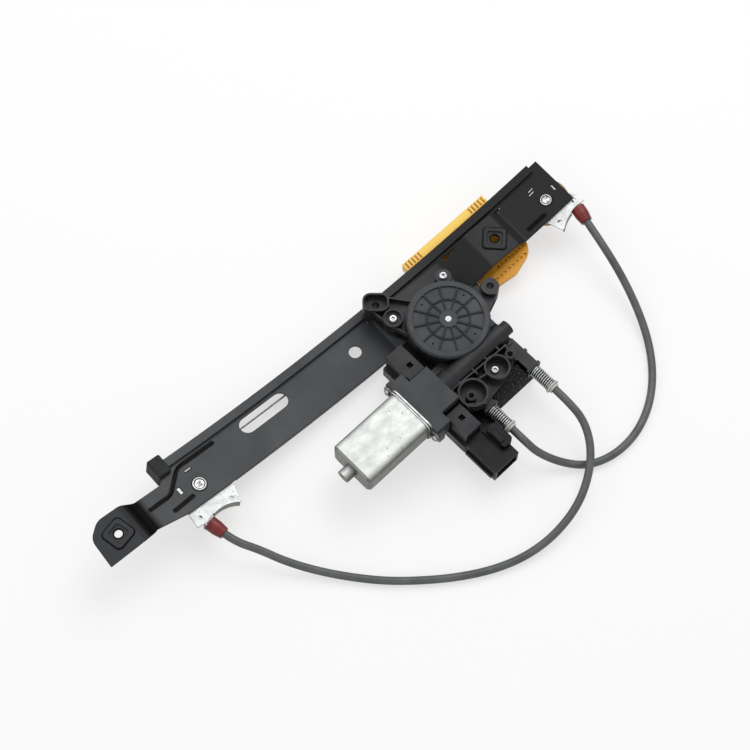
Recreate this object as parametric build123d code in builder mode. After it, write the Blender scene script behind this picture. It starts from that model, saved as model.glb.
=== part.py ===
from build123d import *
import os
from math import asin, cos, degrees, pi, radians, sin, tan

os.makedirs("parts", exist_ok=True)

# Guide rail, pressed from one strip of sheet steel and bent to the curve of the door glass
sheet = 1.8
bend_radius = 1000.0        # top face of the web, about a distant axis along Y
bend_x = 27.0               # station where the web lies lowest
web_top = 12.0              # height of the web's top face there
rail_low_y = 41.5
rail_high_y = 92.0
rail_left_x = -212.0
rail_right_x = 255.0
flange_drop = 3.6           # turned-down edge on the low side
plate_clear = 27.0          # the edge starts this far past the lower rivet
track_width = 7.8           # rolled track on the high side
track_rise = 3.0
track_drop = 9.5
track_lip = 5.4
track_left_x = -179.0
track_right_x = 246.0

# Raised platform lanced from the web, with the bracket pad at its upper end
lance_y = 81.0
platform_left_x = 46.0
platform_right_x = 204.0
platform_top = 20.0
platform_step = 9.0
pad_top = 32.0
pad_right_x = platform_right_x - 14.0
pad_length = 32.0
ramp_right_x = pad_right_x - pad_length
ramp_run = 30.0
ramp_left_x = ramp_right_x - ramp_run
pad_hole_x = pad_right_x - 12.2
pad_hole_y = 60.0
slit_left_x = ramp_left_x + 5.0
slit_right_x = ramp_right_x + 2.0
slit_width = 5.0
lance_gap = 0.8

# Foot at the lower end
foot_top = 49.0
foot_left_x = rail_left_x - 49.0
foot_hole_x = rail_left_x - 27.2
foot_hole_y = 61.6
neck_low_y = 46.0
neck_high_y = 76.0
joggle_run = 11.0

# Pressed squares around the two fixing holes
fixing_hole_radius = 3.5
emboss_side = 20.0
emboss_inner = 13.0
emboss_height = 1.2

# Holes and beads in the web
window_x = -77.0
window_y = 74.0
window_length = 50.0
window_width = 15.0
datum_hole_x = 20.0
datum_hole_y = 66.4
datum_hole_radius = 5.7
bead_width = 5.4
bead_depth = 1.2

# Cable deflectors at both ends
lower_pulley_x = -160.3
upper_pulley_x = 236.8
pulley_y = 57.0
pulley_radius = 20.8
cable_radius = 0.75
cable_turn_radius = 20.0    # centre of the cable round a pulley
pulley_width = 6.0
plate_thickness = 1.5
plate_hole_radius = 2.0
guide_wall = 1.2            # turned-down wall along the plate's hollow edge
guide_wall_depth = 8.5
rivet_radius = 4.6
rivet_bore = 3.4
rivet_head_radius = 6.4
rivet_head = 1.2
seat_gap = 0.03             # under a flat head on the curved web
running_gap = 0.05
side_gap = 0.25
lower_exit_angle = 12.8     # lean of the conduit away from square to the rail
upper_exit_angle = -11.0
lower_ferrule_start = 27.0  # along the cable from its tangent point
upper_ferrule_start = 20.0
ferrule_length = 15.0
ferrule_radius = 6.4
conduit_radius = 3.5

# Drive unit: its own axes stand on the drum axis, turned a little from the rail
drum_x = 90.3
drum_y = 25.3
unit_turn = 2.6
unit_base = platform_top
drum_turn_radius = 26.0     # centre of the cable on the drum
drum_flange_radius = 28.0
drum_bottom = 22.6
drum_height = 9.0
drum_wall = 1.8
cable_z = 26.4
split_z = 32.6              # joint between drum housing and gear housing
wheel_teeth = 66
gear_module = 1.0
worm_radius = 5.0           # pitch radius
wheel_width = 7.0
wheel_bottom = 34.9
pin_radius = 3.0
cover_radius = 36.3
cover_bottom = 44.6
cover_plate = 1.8
cover_top = 48.0
cover_ribs = 12
housing_wall = 1.6

lugs = [(27.9, 34.0), (-31.7, 35.0)]        # screws beside the cover
low_screw = (-0.9, -57.6)                   # third screw, down in a pocket
corner_boss = (-32.0, 56.2)
screw_radius = 2.0
screw_hole_gap = 0.2
boss_clearance = 3.6

# Motor
can_width = 44.0
can_depth = 28.0
can_corner = 6.0
can_wall = 1.5
can_length = 70.0
can_face_u = -81.5          # along the motor axis, from the drum axis
ear_reach = can_width / 2 + 6
shaft_radius = 3.0
lamination_radius = 11.2
lamination_length = 40.0
commutator_radius = 6.5

# Window carrier
carrier_left_x = 105.0
carrier_right_x = 200.0
lobe_left_x = 143.0
lobe_right_x = 204.5
lobe_low_y = 27.5
grip_pitch = 3.7            # grip ribs at both ends of the strip
grip_groove = 1.8
grip_depth = 1.6
grip_count = 5
guide_gap = 0.3
glass_gap = 4.3
jaw_thickness = 3.0

far_axis = Axis((bend_x, 0, web_top + bend_radius), (0, 1, 0))
wheel_pitch_radius = wheel_teeth * gear_module / 2
worm_v = -(wheel_pitch_radius + worm_radius)
worm_z = wheel_bottom + wheel_width / 2


def tilt(x):
    """Slope of the web at station x, in radians."""
    return asin((x - bend_x) / bend_radius)


def web_z(x):
    """Height of the web's top face at station x."""
    return web_top + bend_radius * (1 - cos(tilt(x)))


def station(x, y=0.0, depth=0.0):
    """Plane lying on the web at station x: local x along the rail, local y along Y."""
    slope = tilt(x)
    normal = (-sin(slope), 0, cos(slope))
    origin = (x + depth * normal[0], y, web_z(x) + depth * normal[2])
    return Plane(origin=origin, x_dir=(cos(slope), 0, sin(slope)), z_dir=normal)


def across(x):
    """Plane across the rail at station x: local x along Y, local y out of the web."""
    slope = tilt(x)
    return Plane(origin=(x, 0, web_z(x)), x_dir=(0, 1, 0), z_dir=(cos(slope), 0, sin(slope)))


def band(x_from, x_to, y_from, y_to, low, high):
    """A strip with a rectangular section that follows the rail's bend."""
    with BuildPart() as strip:
        with BuildSketch(across(x_to)):
            with Locations(((y_from + y_to) / 2, (low + high) / 2)):
                Rectangle(y_to - y_from, high - low)
        revolve(axis=far_axis, revolution_arc=degrees(tilt(x_to) - tilt(x_from)))
    return strip.part


def unit(z, u=0.0, v=0.0):
    """Horizontal plane of the drive unit at height z, with its origin moved to (u, v)."""
    turn = radians(unit_turn)
    origin = (drum_x + u * cos(turn) - v * sin(turn), drum_y + u * sin(turn) + v * cos(turn), z)
    return Plane(origin=origin, x_dir=(cos(turn), sin(turn), 0), z_dir=(0, 0, 1))


def along_motor(u, v=worm_v, z=worm_z):
    """Plane square to the motor axis at u: local x across the unit, local y upwards."""
    turn = radians(unit_turn)
    base = unit(z, u, v).origin
    return Plane(origin=base, x_dir=(-sin(turn), cos(turn), 0), z_dir=(cos(turn), sin(turn), 0))


def along_outlet(v, side, z=cable_z):
    """Plane square to a cable outlet at v, facing away from the drum."""
    turn = radians(unit_turn)
    base = unit(z, side * drum_turn_radius, v).origin
    return Plane(origin=base, x_dir=(cos(turn), sin(turn), 0), z_dir=(sin(turn), -cos(turn), 0))


# Rail, web and track
def on_web(x, along=0.0):
    """Point (X, Z) of the web's top face at station x, moved along the web's tangent."""
    return (x + along * cos(tilt(x)), web_z(x) + along * sin(tilt(x)))


with BuildPart() as platform:
    with BuildSketch(Plane.XZ.offset(-lance_y + lance_gap)):
        with BuildLine():
            FilletPolyline(
                on_web(platform_left_x),
                on_web(platform_left_x, 4),
                (platform_left_x + platform_step + 3, platform_top),
                (ramp_left_x, platform_top),
                (ramp_right_x, pad_top),
                (pad_right_x, pad_top),
                on_web(platform_right_x, -5),
                on_web(platform_right_x),
                radius=[3, 3, 8, 8, 4, 3],
            )
            offset(amount=sheet, side=Side.RIGHT)
        make_face()
    extrude(amount=lance_y - lance_gap - rail_low_y)
    # triangular relief slit beside the track
    with BuildSketch(Plane.XY):
        with BuildLine():
            Polyline(
                (slit_left_x, lance_y),
                (slit_left_x, lance_y - slit_width),
                (slit_right_x, lance_y - lance_gap),
                (slit_right_x, lance_y),
                close=True,
            )
        make_face()
    extrude(amount=pad_top + 10, mode=Mode.SUBTRACT)
    # pressed square and hole of the bracket pad
    with BuildSketch(Plane.XY.offset(pad_top)):
        with Locations(Location((pad_hole_x, pad_hole_y), 45)):
            RectangleRounded(emboss_side, emboss_side, 3)
            RectangleRounded(emboss_inner, emboss_inner, 2, mode=Mode.SUBTRACT)
    extrude(amount=emboss_height)
    with Locations((pad_hole_x, pad_hole_y, pad_top)):
        Hole(fixing_hole_radius)

with BuildPart() as platform_wall:
    with BuildSketch(Plane.XZ.offset(-lance_y)):
        with BuildLine():
            wall_left = platform_left_x + 1
            wall_right = ramp_left_x + 4
            wall_mid = (wall_left + wall_right) / 2
            wall_foot = ThreePointArc(
                (wall_left, web_z(wall_left) - sheet),
                (wall_mid, web_z(wall_mid) - sheet),
                (wall_right, web_z(wall_right) - sheet),
            )
            Polyline(
                wall_foot @ 1,
                (wall_right, platform_top - sheet / 2),
                (platform_left_x + platform_step + 4, platform_top - sheet / 2),
                wall_foot @ 0,
            )
        make_face()
    extrude(amount=sheet)

with BuildPart() as foot:
    with BuildSketch(Plane.XZ.offset(-neck_high_y - 6)):
        with BuildLine():
            FilletPolyline(
                on_web(rail_left_x),
                on_web(rail_left_x, -3),
                (rail_left_x - joggle_run, foot_top),
                (foot_left_x, foot_top),
                radius=[3, 4],
            )
            offset(amount=sheet, side=Side.LEFT)
        make_face()
    extrude(amount=neck_high_y + 6 - 40)
    with BuildSketch(Plane.XY.offset(foot_top + 5)):
        with BuildLine():
            FilletPolyline(
                (rail_left_x, neck_high_y),
                (rail_left_x - 14, neck_high_y + 4),
                (rail_left_x - 34, neck_high_y + 5.5),
                (foot_left_x + 2, neck_high_y - 4),
                (foot_left_x, neck_low_y - 2.5),
                (rail_left_x - 12, neck_low_y - 3.4),
                (rail_left_x, neck_low_y),
                radius=[6, 12, 12, 1, 8],
            )
            Line((rail_left_x, neck_low_y), (rail_left_x, neck_high_y))
        make_face()
    extrude(amount=-foot_top, mode=Mode.INTERSECT)
    with BuildSketch(Plane.XY.offset(foot_top)):
        with Locations(Location((foot_hole_x, foot_hole_y), 12)):
            RectangleRounded(emboss_side, emboss_side, 4)
            RectangleRounded(emboss_inner, emboss_inner, 3, mode=Mode.SUBTRACT)
    extrude(amount=emboss_height)
    with Locations((foot_hole_x, foot_hole_y, foot_top)):
        Hole(fixing_hole_radius)

def beads(width):
    """Plan of the web's pressed beads at a given width, drawn up as a tall block."""
    trim = bead_width - width
    with BuildPart() as plan:
        with BuildSketch(Plane.XY):
            with BuildLine():
                FilletPolyline((-128.6, 80), (-166, 80), (-185, 63.5), (-206, 63), radius=[14, 12])
            trace(line_width=width)
            with Locations((-128.6, 80), (-206, 63)):
                Circle(width / 2)
            for x, y, length, turn in web_beads:
                with Locations(Location((x, y), turn)):
                    SlotOverall(length - trim, width)
        extrude(amount=60)
    return plan.part


web_beads = [(rail_left_x + 31, 51, 25, 4), (rail_right_x - 38, 47.6, 24, 0)]
with BuildPart() as bead_ridge:
    add(beads(bead_width))
    add(band(-211.0, 232.0, 44.0, 84.0, -sheet - bead_depth, -sheet / 2), mode=Mode.INTERSECT)
with BuildPart() as bead_groove:
    add(beads(bead_width - 2))
    add(band(-213.0, 234.0, 44.0, 84.0, -bead_depth, 1), mode=Mode.INTERSECT)

track_in_y = rail_high_y - track_width
with BuildPart() as rail:
    add(band(rail_left_x, platform_left_x, rail_low_y, track_in_y, -sheet, 0))
    add(band(platform_left_x, platform_right_x, lance_y, track_in_y, -sheet, 0))
    add(band(platform_right_x, rail_right_x, rail_low_y, track_in_y, -sheet, 0))
    add(band(track_right_x, rail_right_x, track_in_y, rail_high_y - 2, -sheet, 0))
    add(band(lower_pulley_x + plate_clear, platform_left_x, rail_low_y, rail_low_y + sheet,
             -flange_drop, -sheet))
    add(band(rail_left_x, track_right_x, track_in_y, track_in_y + sheet, -sheet, track_rise))
    add(band(rail_left_x, track_right_x, track_in_y + sheet, rail_high_y, track_rise - sheet, track_rise))
    add(band(rail_left_x, track_right_x, rail_high_y - sheet, rail_high_y, -track_drop, track_rise - sheet))
    add(band(rail_left_x, track_right_x, rail_high_y - track_lip, rail_high_y - sheet,
             -track_drop, -track_drop + sheet))
    # notch beside the end stop, and the narrower neck towards the foot
    with BuildSketch(Plane.XY):
        with BuildLine():
            FilletPolyline(
                (rail_left_x - 20, rail_high_y + 20),
                (track_left_x, rail_high_y + 20),
                (track_left_x, neck_high_y + 6),
                (track_left_x - 8, neck_high_y),
                (rail_left_x - 20, neck_high_y),
                radius=[1, 3, 6],
            )
            Line((rail_left_x - 20, neck_high_y), (rail_left_x - 20, rail_high_y + 20))
        make_face()
        with BuildLine():
            Polyline(
                (-183, rail_low_y - 5),
                (-183, rail_low_y),
                (rail_left_x, neck_low_y),
                (rail_left_x - 5, neck_low_y),
                (rail_left_x - 5, rail_low_y - 5),
                close=True,
            )
        make_face()
    extrude(amount=80, mode=Mode.SUBTRACT)
    add(platform.part)
    add(platform_wall.part)
    add(foot.part)
    add(bead_ridge.part)
    add(bead_groove.part, mode=Mode.SUBTRACT)
    # windows, datum hole, rivet holes and the small slots
    with BuildSketch(Plane.XY):
        with Locations((window_x, window_y)):
            SlotOverall(window_length, window_width)
        with Locations((datum_hole_x, datum_hole_y)):
            Circle(datum_hole_radius)
        with Locations((-159.6, 73)):
            Rectangle(6.5, 2)
        with Locations((-176.7, 62)):
            Rectangle(3, 6.5)
        with Locations((rail_right_x - 5.8, 61)):
            Rectangle(1.6, 6)
        with Locations(Location((upper_pulley_x - 4.8, 70.5), 4), Location((upper_pulley_x - 3.3, 73.4), 4)):
            Rectangle(6, 1.1)
    extrude(amount=80, mode=Mode.SUBTRACT)
    for x in (lower_pulley_x, upper_pulley_x):
        with BuildSketch(station(x, pulley_y)):
            Circle(rivet_radius)
        extrude(amount=5, both=True, mode=Mode.SUBTRACT)
    # holes under the drive unit's screws and its corner fixing
    with BuildSketch(unit(0)):
        with Locations(*lugs):
            Circle(screw_radius + screw_hole_gap)
        with Locations(corner_boss):
            Circle(boss_clearance)
    extrude(amount=40, mode=Mode.SUBTRACT)
rail.part.label = "rail"
export_step(rail.part, "parts/rail.step")

# Rubber stop clipped over the lower end of the track
stop_x = -177.5
stop_length = 13.0
stop_low_y = 80.0
stop_high_y = 98.0
with BuildPart() as end_stop:
    with BuildSketch(station(stop_x, 0, -track_drop - 2)):
        with Locations((0, (stop_low_y + stop_high_y) / 2)):
            RectangleRounded(stop_length, stop_high_y - stop_low_y, 1.5)
    extrude(amount=track_drop + 2 + track_rise + 2)
    chamfer(end_stop.faces().sort_by(Axis.Z)[-1].edges(), 1)
    add(rail.part, mode=Mode.SUBTRACT)
    # the offcut caught inside the rail is not part of the stop
end_stop_body = end_stop.part.solids().sort_by(SortBy.VOLUME)[-1]
end_stop_body.label = "end_stop"
export_step(end_stop_body, "parts/end_stop.step")


# Cable deflectors
cable_depth = -(sheet + plate_thickness + side_gap + pulley_width / 2)


def exit_plane(x, side, angle, along):
    """Plane square to the cable as it leaves a pulley: local x out of the web."""
    base = station(x, pulley_y, cable_depth)
    heading = (sin(radians(angle)), -cos(radians(angle)))
    touch = (side * cable_turn_radius * cos(radians(angle)), side * cable_turn_radius * sin(radians(angle)))
    origin = base.from_local_coords((touch[0] + along * heading[0], touch[1] + along * heading[1], 0))
    z_dir = base.x_dir * heading[0] + base.y_dir * heading[1]
    return Plane(origin=origin, x_dir=base.z_dir, z_dir=z_dir)


# Outline of each plate round its rivet: outer side, hollow edge as an arc, inner side and two holes
lower_plate = {
    "outer": [(-22, 8), (-23.8, -14), (-25.4, -29), (-15.8, -30.4)],
    "arc": [(-15.8, -30.4), (0, -26.5), (18.5, -33)],
    "inner": [(18.5, -33), (22.6, -16.6), (22, 8)],
    "wall": [(-6.5, -27.2), (4, -26.8), (17.5, -32.5)],
    "holes": [(-18.4, -23.5), (13.4, -25.8)],
}
upper_plate = {
    "outer": [(17, 8), (18, -9), (21.4, -10.5), (23.8, -23.5)],
    "arc": [(23.8, -23.5), (9.5, -23), (-8, -30.6)],
    "inner": [(-8, -30.6), (-14.4, -13), (-15, 8)],
    "wall": [(8.5, -23.3), (0.5, -25.6), (-7.2, -30)],
    "holes": [(17.6, -17.3), (-5.1, -23)],
}
ends = [
    ("lower", lower_pulley_x, -1, lower_exit_angle, lower_ferrule_start, lower_plate),
    ("upper", upper_pulley_x, 1, upper_exit_angle, upper_ferrule_start, upper_plate),
]
tab_thickness = 2.5
for name, x, side, angle, ferrule_start, plate in ends:
    with BuildPart() as deflector:
        with BuildSketch(station(x, pulley_y, -sheet - plate_thickness)):
            with BuildLine():
                Polyline(*plate["outer"])
                ThreePointArc(*plate["arc"])
                Polyline(*plate["inner"])
                Line(plate["inner"][-1], plate["outer"][0])
            make_face()
            with Locations(*plate["holes"]):
                Circle(plate_hole_radius, mode=Mode.SUBTRACT)
            Circle(rivet_radius, mode=Mode.SUBTRACT)
        extrude(amount=plate_thickness)
        with BuildSketch(station(x, pulley_y, -sheet)):
            with BuildLine():
                ThreePointArc(*plate["wall"])
            trace(line_width=guide_wall)
        extrude(amount=-guide_wall_depth)
        # turned-down tab that holds the ferrule
        with BuildSketch(exit_plane(x, side, angle, ferrule_start)):
            with Locations((-0.85, 0)):
                Rectangle(9.7, 10)
            Circle(2.2, mode=Mode.SUBTRACT)
        extrude(amount=-tab_thickness)
        # the plate stops short of the ferrule
        with BuildSketch(exit_plane(x, side, angle, ferrule_start)):
            Circle(ferrule_radius + 0.2)
        extrude(amount=ferrule_length + 4, mode=Mode.SUBTRACT)
        add(rail.part, mode=Mode.SUBTRACT)
    plate_body = deflector.part
    plate_body.label = name + "_deflector_plate"
    export_step(plate_body, "parts/" + name + "_deflector_plate.step")

    with BuildPart() as pulley:
        with BuildSketch(Plane.XZ):
            with Locations(((rivet_radius + running_gap + pulley_radius) / 2, 0)):
                Rectangle(pulley_radius - rivet_radius - running_gap, pulley_width)
            with BuildLine():
                Polyline(
                    (pulley_radius + 1, 2.2),
                    (cable_turn_radius - cable_radius - 0.15, 0.95),
                    (cable_turn_radius - cable_radius - 0.15, -0.95),
                    (pulley_radius + 1, -2.2),
                    close=True,
                )
            make_face(mode=Mode.SUBTRACT)
        revolve(axis=Axis.Z)
        with BuildSketch(Plane.XY.offset(pulley_width / 2)):
            with PolarLocations(11.5, 6):
                Circle(3)
        extrude(amount=-pulley_width, mode=Mode.SUBTRACT)
    pulley_body = pulley.part.moved(station(x, pulley_y, cable_depth).location)
    pulley_body.label = name + "_pulley"
    export_step(pulley_body, "parts/" + name + "_pulley.step")

    with BuildPart() as rivet:
        with BuildSketch(Plane.XZ):
            with BuildLine():
                low = cable_depth - pulley_width / 2 - side_gap
                Polyline(
                    (rivet_bore, low - 1.5),
                    (rivet_head_radius + 1.5, low - 1.5),
                    (rivet_head_radius + 1.5, low),
                    (rivet_radius, low),
                    (rivet_radius, seat_gap),
                    (rivet_head_radius, seat_gap),
                    (rivet_head_radius - 0.5, rivet_head),
                    (rivet_bore, rivet_head),
                    close=True,
                )
            make_face()
        revolve(axis=Axis.Z)
    rivet_body = rivet.part.moved(station(x, pulley_y).location)
    rivet_body.label = name + "_pulley_rivet"
    export_step(rivet_body, "parts/" + name + "_pulley_rivet.step")

    with BuildPart() as ferrule:
        with BuildSketch(Plane.XZ):
            with BuildLine():
                Polyline(
                    (cable_radius, -tab_thickness),
                    (2.1, -tab_thickness),
                    (2.1, 0),
                    (ferrule_radius, 0),
                    (ferrule_radius, ferrule_length / 2),
                    (ferrule_radius - 1.2, ferrule_length),
                    (cable_radius, ferrule_length),
                    close=True,
                )
            make_face()
        revolve(axis=Axis.Z)
    ferrule_body = ferrule.part.moved(exit_plane(x, side, angle, ferrule_start).location)
    ferrule_body.label = name + "_ferrule"
    export_step(ferrule_body, "parts/" + name + "_ferrule.step")

# Lifting cable along the rail, round both pulleys and into both ferrules
def round_pulley(x, angle_deg):
    base = station(x, pulley_y, cable_depth)
    return base.from_local_coords(
        (cable_turn_radius * cos(radians(angle_deg)), cable_turn_radius * sin(radians(angle_deg)), 0))


cable_mid_x = (lower_pulley_x + upper_pulley_x) / 2
cable_y = pulley_y + cable_turn_radius
with BuildPart() as rail_cable:
    with BuildLine() as cable_path:
        Line(exit_plane(lower_pulley_x, -1, lower_exit_angle, lower_ferrule_start - tab_thickness).origin,
             round_pulley(lower_pulley_x, 180 + lower_exit_angle))
        ThreePointArc(round_pulley(lower_pulley_x, 180 + lower_exit_angle),
                      round_pulley(lower_pulley_x, 135 + lower_exit_angle / 2),
                      round_pulley(lower_pulley_x, 90))
        ThreePointArc(round_pulley(lower_pulley_x, 90),
                      station(cable_mid_x, cable_y, cable_depth).origin,
                      round_pulley(upper_pulley_x, 90))
        ThreePointArc(round_pulley(upper_pulley_x, 90),
                      round_pulley(upper_pulley_x, 45 + upper_exit_angle / 2),
                      round_pulley(upper_pulley_x, upper_exit_angle))
        Line(round_pulley(upper_pulley_x, upper_exit_angle),
             exit_plane(upper_pulley_x, 1, upper_exit_angle, upper_ferrule_start - tab_thickness).origin)
    with BuildSketch(Plane(origin=cable_path.line @ 0, z_dir=cable_path.line % 0)):
        Circle(cable_radius)
    sweep(path=cable_path.line)
rail_cable.part.label = "rail_cable"
export_step(rail_cable.part, "parts/rail_cable.step")

# Drive unit
arm_boss = (50.6, -0.8)
low_bosses = [(15.6, -58.5), (-34.8, -62.3)]
lug_radius = 7.0
boss_radius = 8.0
low_boss_radius = 4.6
unit_hole_radius = 3.3
outlet_width = 11.0
outlet_rim = 1.5            # rims of the outlets stand out by this much
outlet_end_v = -79.0
drum_room_radius = 29.4
well_radius = 34.8
shelf_left_u = -45.0
shelf_right_u = 29.0
shelf_low_v = -50.0
shelf_floor_v = -64.0
tube_radius = 9.4
collar_radius = 10.6
collar_length = 9.0
cup_length = 23.0           # cup round the corner fixing
cup_width = 17.0
cup_turn = -44.0
cup_height = 10.0
tube_left_u = -45.0
tube_right_u = 27.0
worm_bore = 6.25
end_boss_radius = 6.5
end_boss_u = 34.5


def blob(circles):
    """Outline drawn tightly round a few circles, each given as (u, v, radius)."""
    with BuildSketch() as outline:
        for u, v, radius in circles:
            with Locations((u, v)):
                Circle(radius)
        make_hull()
    return outline.sketch


def corner_cup(inset):
    """Outline of the cup round the corner fixing, drawn in by an inset."""
    with BuildSketch() as outline:
        with Locations(Location(corner_boss, cup_turn)):
            RectangleRounded(cup_length - 2 * inset, cup_width - 2 * inset, 7 - inset)
    return outline.sketch


with BuildPart() as drum_housing:
    with BuildSketch(unit(unit_base)):
        Circle(drum_room_radius + drum_wall)
        add(blob([(*lugs[0], lug_radius), (12, 12, 18)]))
        add(blob([(*lugs[1], lug_radius), (*corner_boss, boss_radius), (-12, 12, 18)]))
        add(blob([(*arm_boss, boss_radius), (14, -4, 18)]))
        with Locations(((shelf_left_u + shelf_right_u) / 2 + 6, shelf_floor_v / 2)):
            Rectangle(shelf_right_u - shelf_left_u - 16, -shelf_floor_v)
    extrude(amount=2)
    with BuildSketch(unit(unit_base)):
        Circle(drum_room_radius + drum_wall)
        for side in (1, -1):
            with Locations((side * drum_turn_radius, outlet_end_v / 2)):
                Rectangle(outlet_width, -outlet_end_v)
        with Locations(*lugs):
            Circle(lug_radius)
        with Locations(arm_boss):
            Circle(boss_radius)
        add(corner_cup(0))
        with Locations(low_screw):
            Circle(5)
    extrude(amount=split_z - unit_base)
    # rims round the cable outlets
    with BuildSketch(unit(unit_base)):
        for side in (1, -1):
            with Locations((side * drum_turn_radius, outlet_end_v + 1.5), (side * drum_turn_radius, -62)):
                Rectangle(outlet_width + 2 * outlet_rim, 3)
    extrude(amount=split_z - unit_base)
    with BuildSketch(unit(unit_base + 2)):
        Circle(drum_room_radius)
    extrude(amount=split_z, mode=Mode.SUBTRACT)
    # room for the worm tube above
    with BuildSketch(along_motor(tube_left_u - 1)):
        Circle(collar_radius + 0.2)
    extrude(amount=end_boss_u - tube_left_u + 2, mode=Mode.SUBTRACT)
    for side in (1, -1):
        with BuildSketch(along_outlet(outlet_end_v, side)):
            Circle(1.6)
        extrude(amount=outlet_end_v + 6, mode=Mode.SUBTRACT)
        with BuildSketch(along_outlet(outlet_end_v, side)):
            Circle(4.2)
        extrude(amount=-7, mode=Mode.SUBTRACT)
    with BuildSketch(unit(unit_base)):
        with Locations(corner_boss, arm_boss):
            Circle(unit_hole_radius)
        with Locations(*lugs, low_screw):
            Circle(screw_radius)
        Circle(pin_radius)
    extrude(amount=split_z, mode=Mode.SUBTRACT)
drum_housing.part.label = "drum_housing"
export_step(drum_housing.part, "parts/drum_housing.step")

rib_width = 1.3
shelf_ribs = [
    [(-44, -47), (19, -50)],
    [(-43.4, -47), (-43.4, -68)],
    [(19, -49), (15.6, -58.5)],
    [(-34, -47), (-34, -44)],
    [(-17, -52), (-17, -44)],
    [(-2, -48), (-2, -44)],
    [(12, -49), (12, -44)],
    [(-19, -56), (-11, -57)],
    [(-42, -66), (-30, -76)],
]
pocket_1 = (-0.2, -58.8, 11.3)
pocket_2 = (-31.6, -61.2, 13.0)
shelf_top = split_z + 1.6
rib_top = 44.0
with BuildPart() as gear_housing:
    with BuildSketch(unit(split_z)):
        Circle(well_radius + housing_wall)
        add(blob([(*lugs[0], lug_radius), (12, 12, 18)]))
        add(blob([(*lugs[1], lug_radius), (*corner_boss, boss_radius), (-12, 12, 18)]))
        add(blob([(*arm_boss, boss_radius), (14, -4, 18)]))
        add(corner_cup(0))
        with Locations(((shelf_left_u + shelf_right_u) / 2, (shelf_low_v - 20) / 2)):
            Rectangle(shelf_right_u - shelf_left_u, -shelf_low_v - 20)
        add(blob([pocket_1, pocket_2]))
        add(blob([pocket_1, (*low_bosses[0], low_boss_radius), (6, -44, 6)]))
        add(blob([pocket_2, (-40, -66, 4), (-40, -44, 4)]))
    extrude(amount=shelf_top - split_z)
    # wheel well, screw lugs and bosses
    with BuildSketch(unit(split_z)):
        Circle(well_radius + housing_wall)
    extrude(amount=cover_bottom - split_z)
    with BuildSketch(unit(split_z)):
        with Locations(*lugs):
            Circle(lug_radius)
        with Locations(arm_boss):
            Circle(boss_radius)
        add(corner_cup(0))
        with Locations(*low_bosses):
            Circle(low_boss_radius)
    extrude(amount=7)
    # walls of the corner arm, the cup and the open pockets
    with BuildSketch(unit(split_z)):
        corner_arm = blob([(*lugs[1], lug_radius), (*corner_boss, boss_radius), (-12, 12, 18)])
        add(corner_arm)
        offset(corner_arm, amount=-housing_wall, mode=Mode.SUBTRACT)
        add(corner_cup(0))
    extrude(amount=7)
    with BuildSketch(unit(split_z)):
        add(corner_cup(0))
        add(corner_cup(housing_wall), mode=Mode.SUBTRACT)
        with Locations(lugs[1]):
            Circle(lug_radius + housing_wall)
            Circle(lug_radius, mode=Mode.SUBTRACT)
    extrude(amount=cup_height)
    with BuildSketch(unit(split_z)):
        for u, v, radius in (pocket_1, pocket_2):
            with Locations((u, v)):
                Circle(radius)
        for u, v, radius in (pocket_1, pocket_2):
            with Locations((u, v)):
                Circle(radius - housing_wall, mode=Mode.SUBTRACT)
        with Locations(*low_bosses):
            Circle(low_boss_radius)
        for rib in shelf_ribs:
            with BuildLine():
                Polyline(*rib)
            trace(line_width=rib_width)
    extrude(amount=rib_top - split_z)
    # worm tube
    with BuildSketch(along_motor(tube_left_u)):
        Circle(tube_radius)
    extrude(amount=tube_right_u - tube_left_u)
    with BuildSketch(along_motor(tube_left_u)):
        Circle(collar_radius)
    extrude(amount=collar_length)
    with BuildSketch(along_motor(tube_right_u)):
        Circle(end_boss_radius)
    extrude(amount=end_boss_u - tube_right_u)
    with BuildSketch(unit(cover_bottom)):
        Circle(cover_radius + 0.3)
    extrude(amount=20, mode=Mode.SUBTRACT)
    with BuildSketch(unit(shelf_top)):
        Circle(well_radius)
    extrude(amount=20, mode=Mode.SUBTRACT)
    with BuildSketch(along_motor(tube_left_u)):
        Circle(worm_bore)
    extrude(amount=24 - tube_left_u, mode=Mode.SUBTRACT)
    with BuildSketch(along_motor(24)):
        Circle(5)
    extrude(amount=6, mode=Mode.SUBTRACT)
    with BuildSketch(unit(split_z)):
        Circle(10)
        with Locations(corner_boss, arm_boss):
            Circle(unit_hole_radius)
        with Locations(*lugs, low_screw, *low_bosses):
            Circle(screw_radius)
    extrude(amount=10, mode=Mode.SUBTRACT)
    # floor of the cup
    with BuildSketch(unit(split_z + 3)):
        add(corner_cup(housing_wall))
    extrude(amount=cup_height, mode=Mode.SUBTRACT)
gear_housing.part.label = "gear_housing"
export_step(gear_housing.part, "parts/gear_housing.step")

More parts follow.
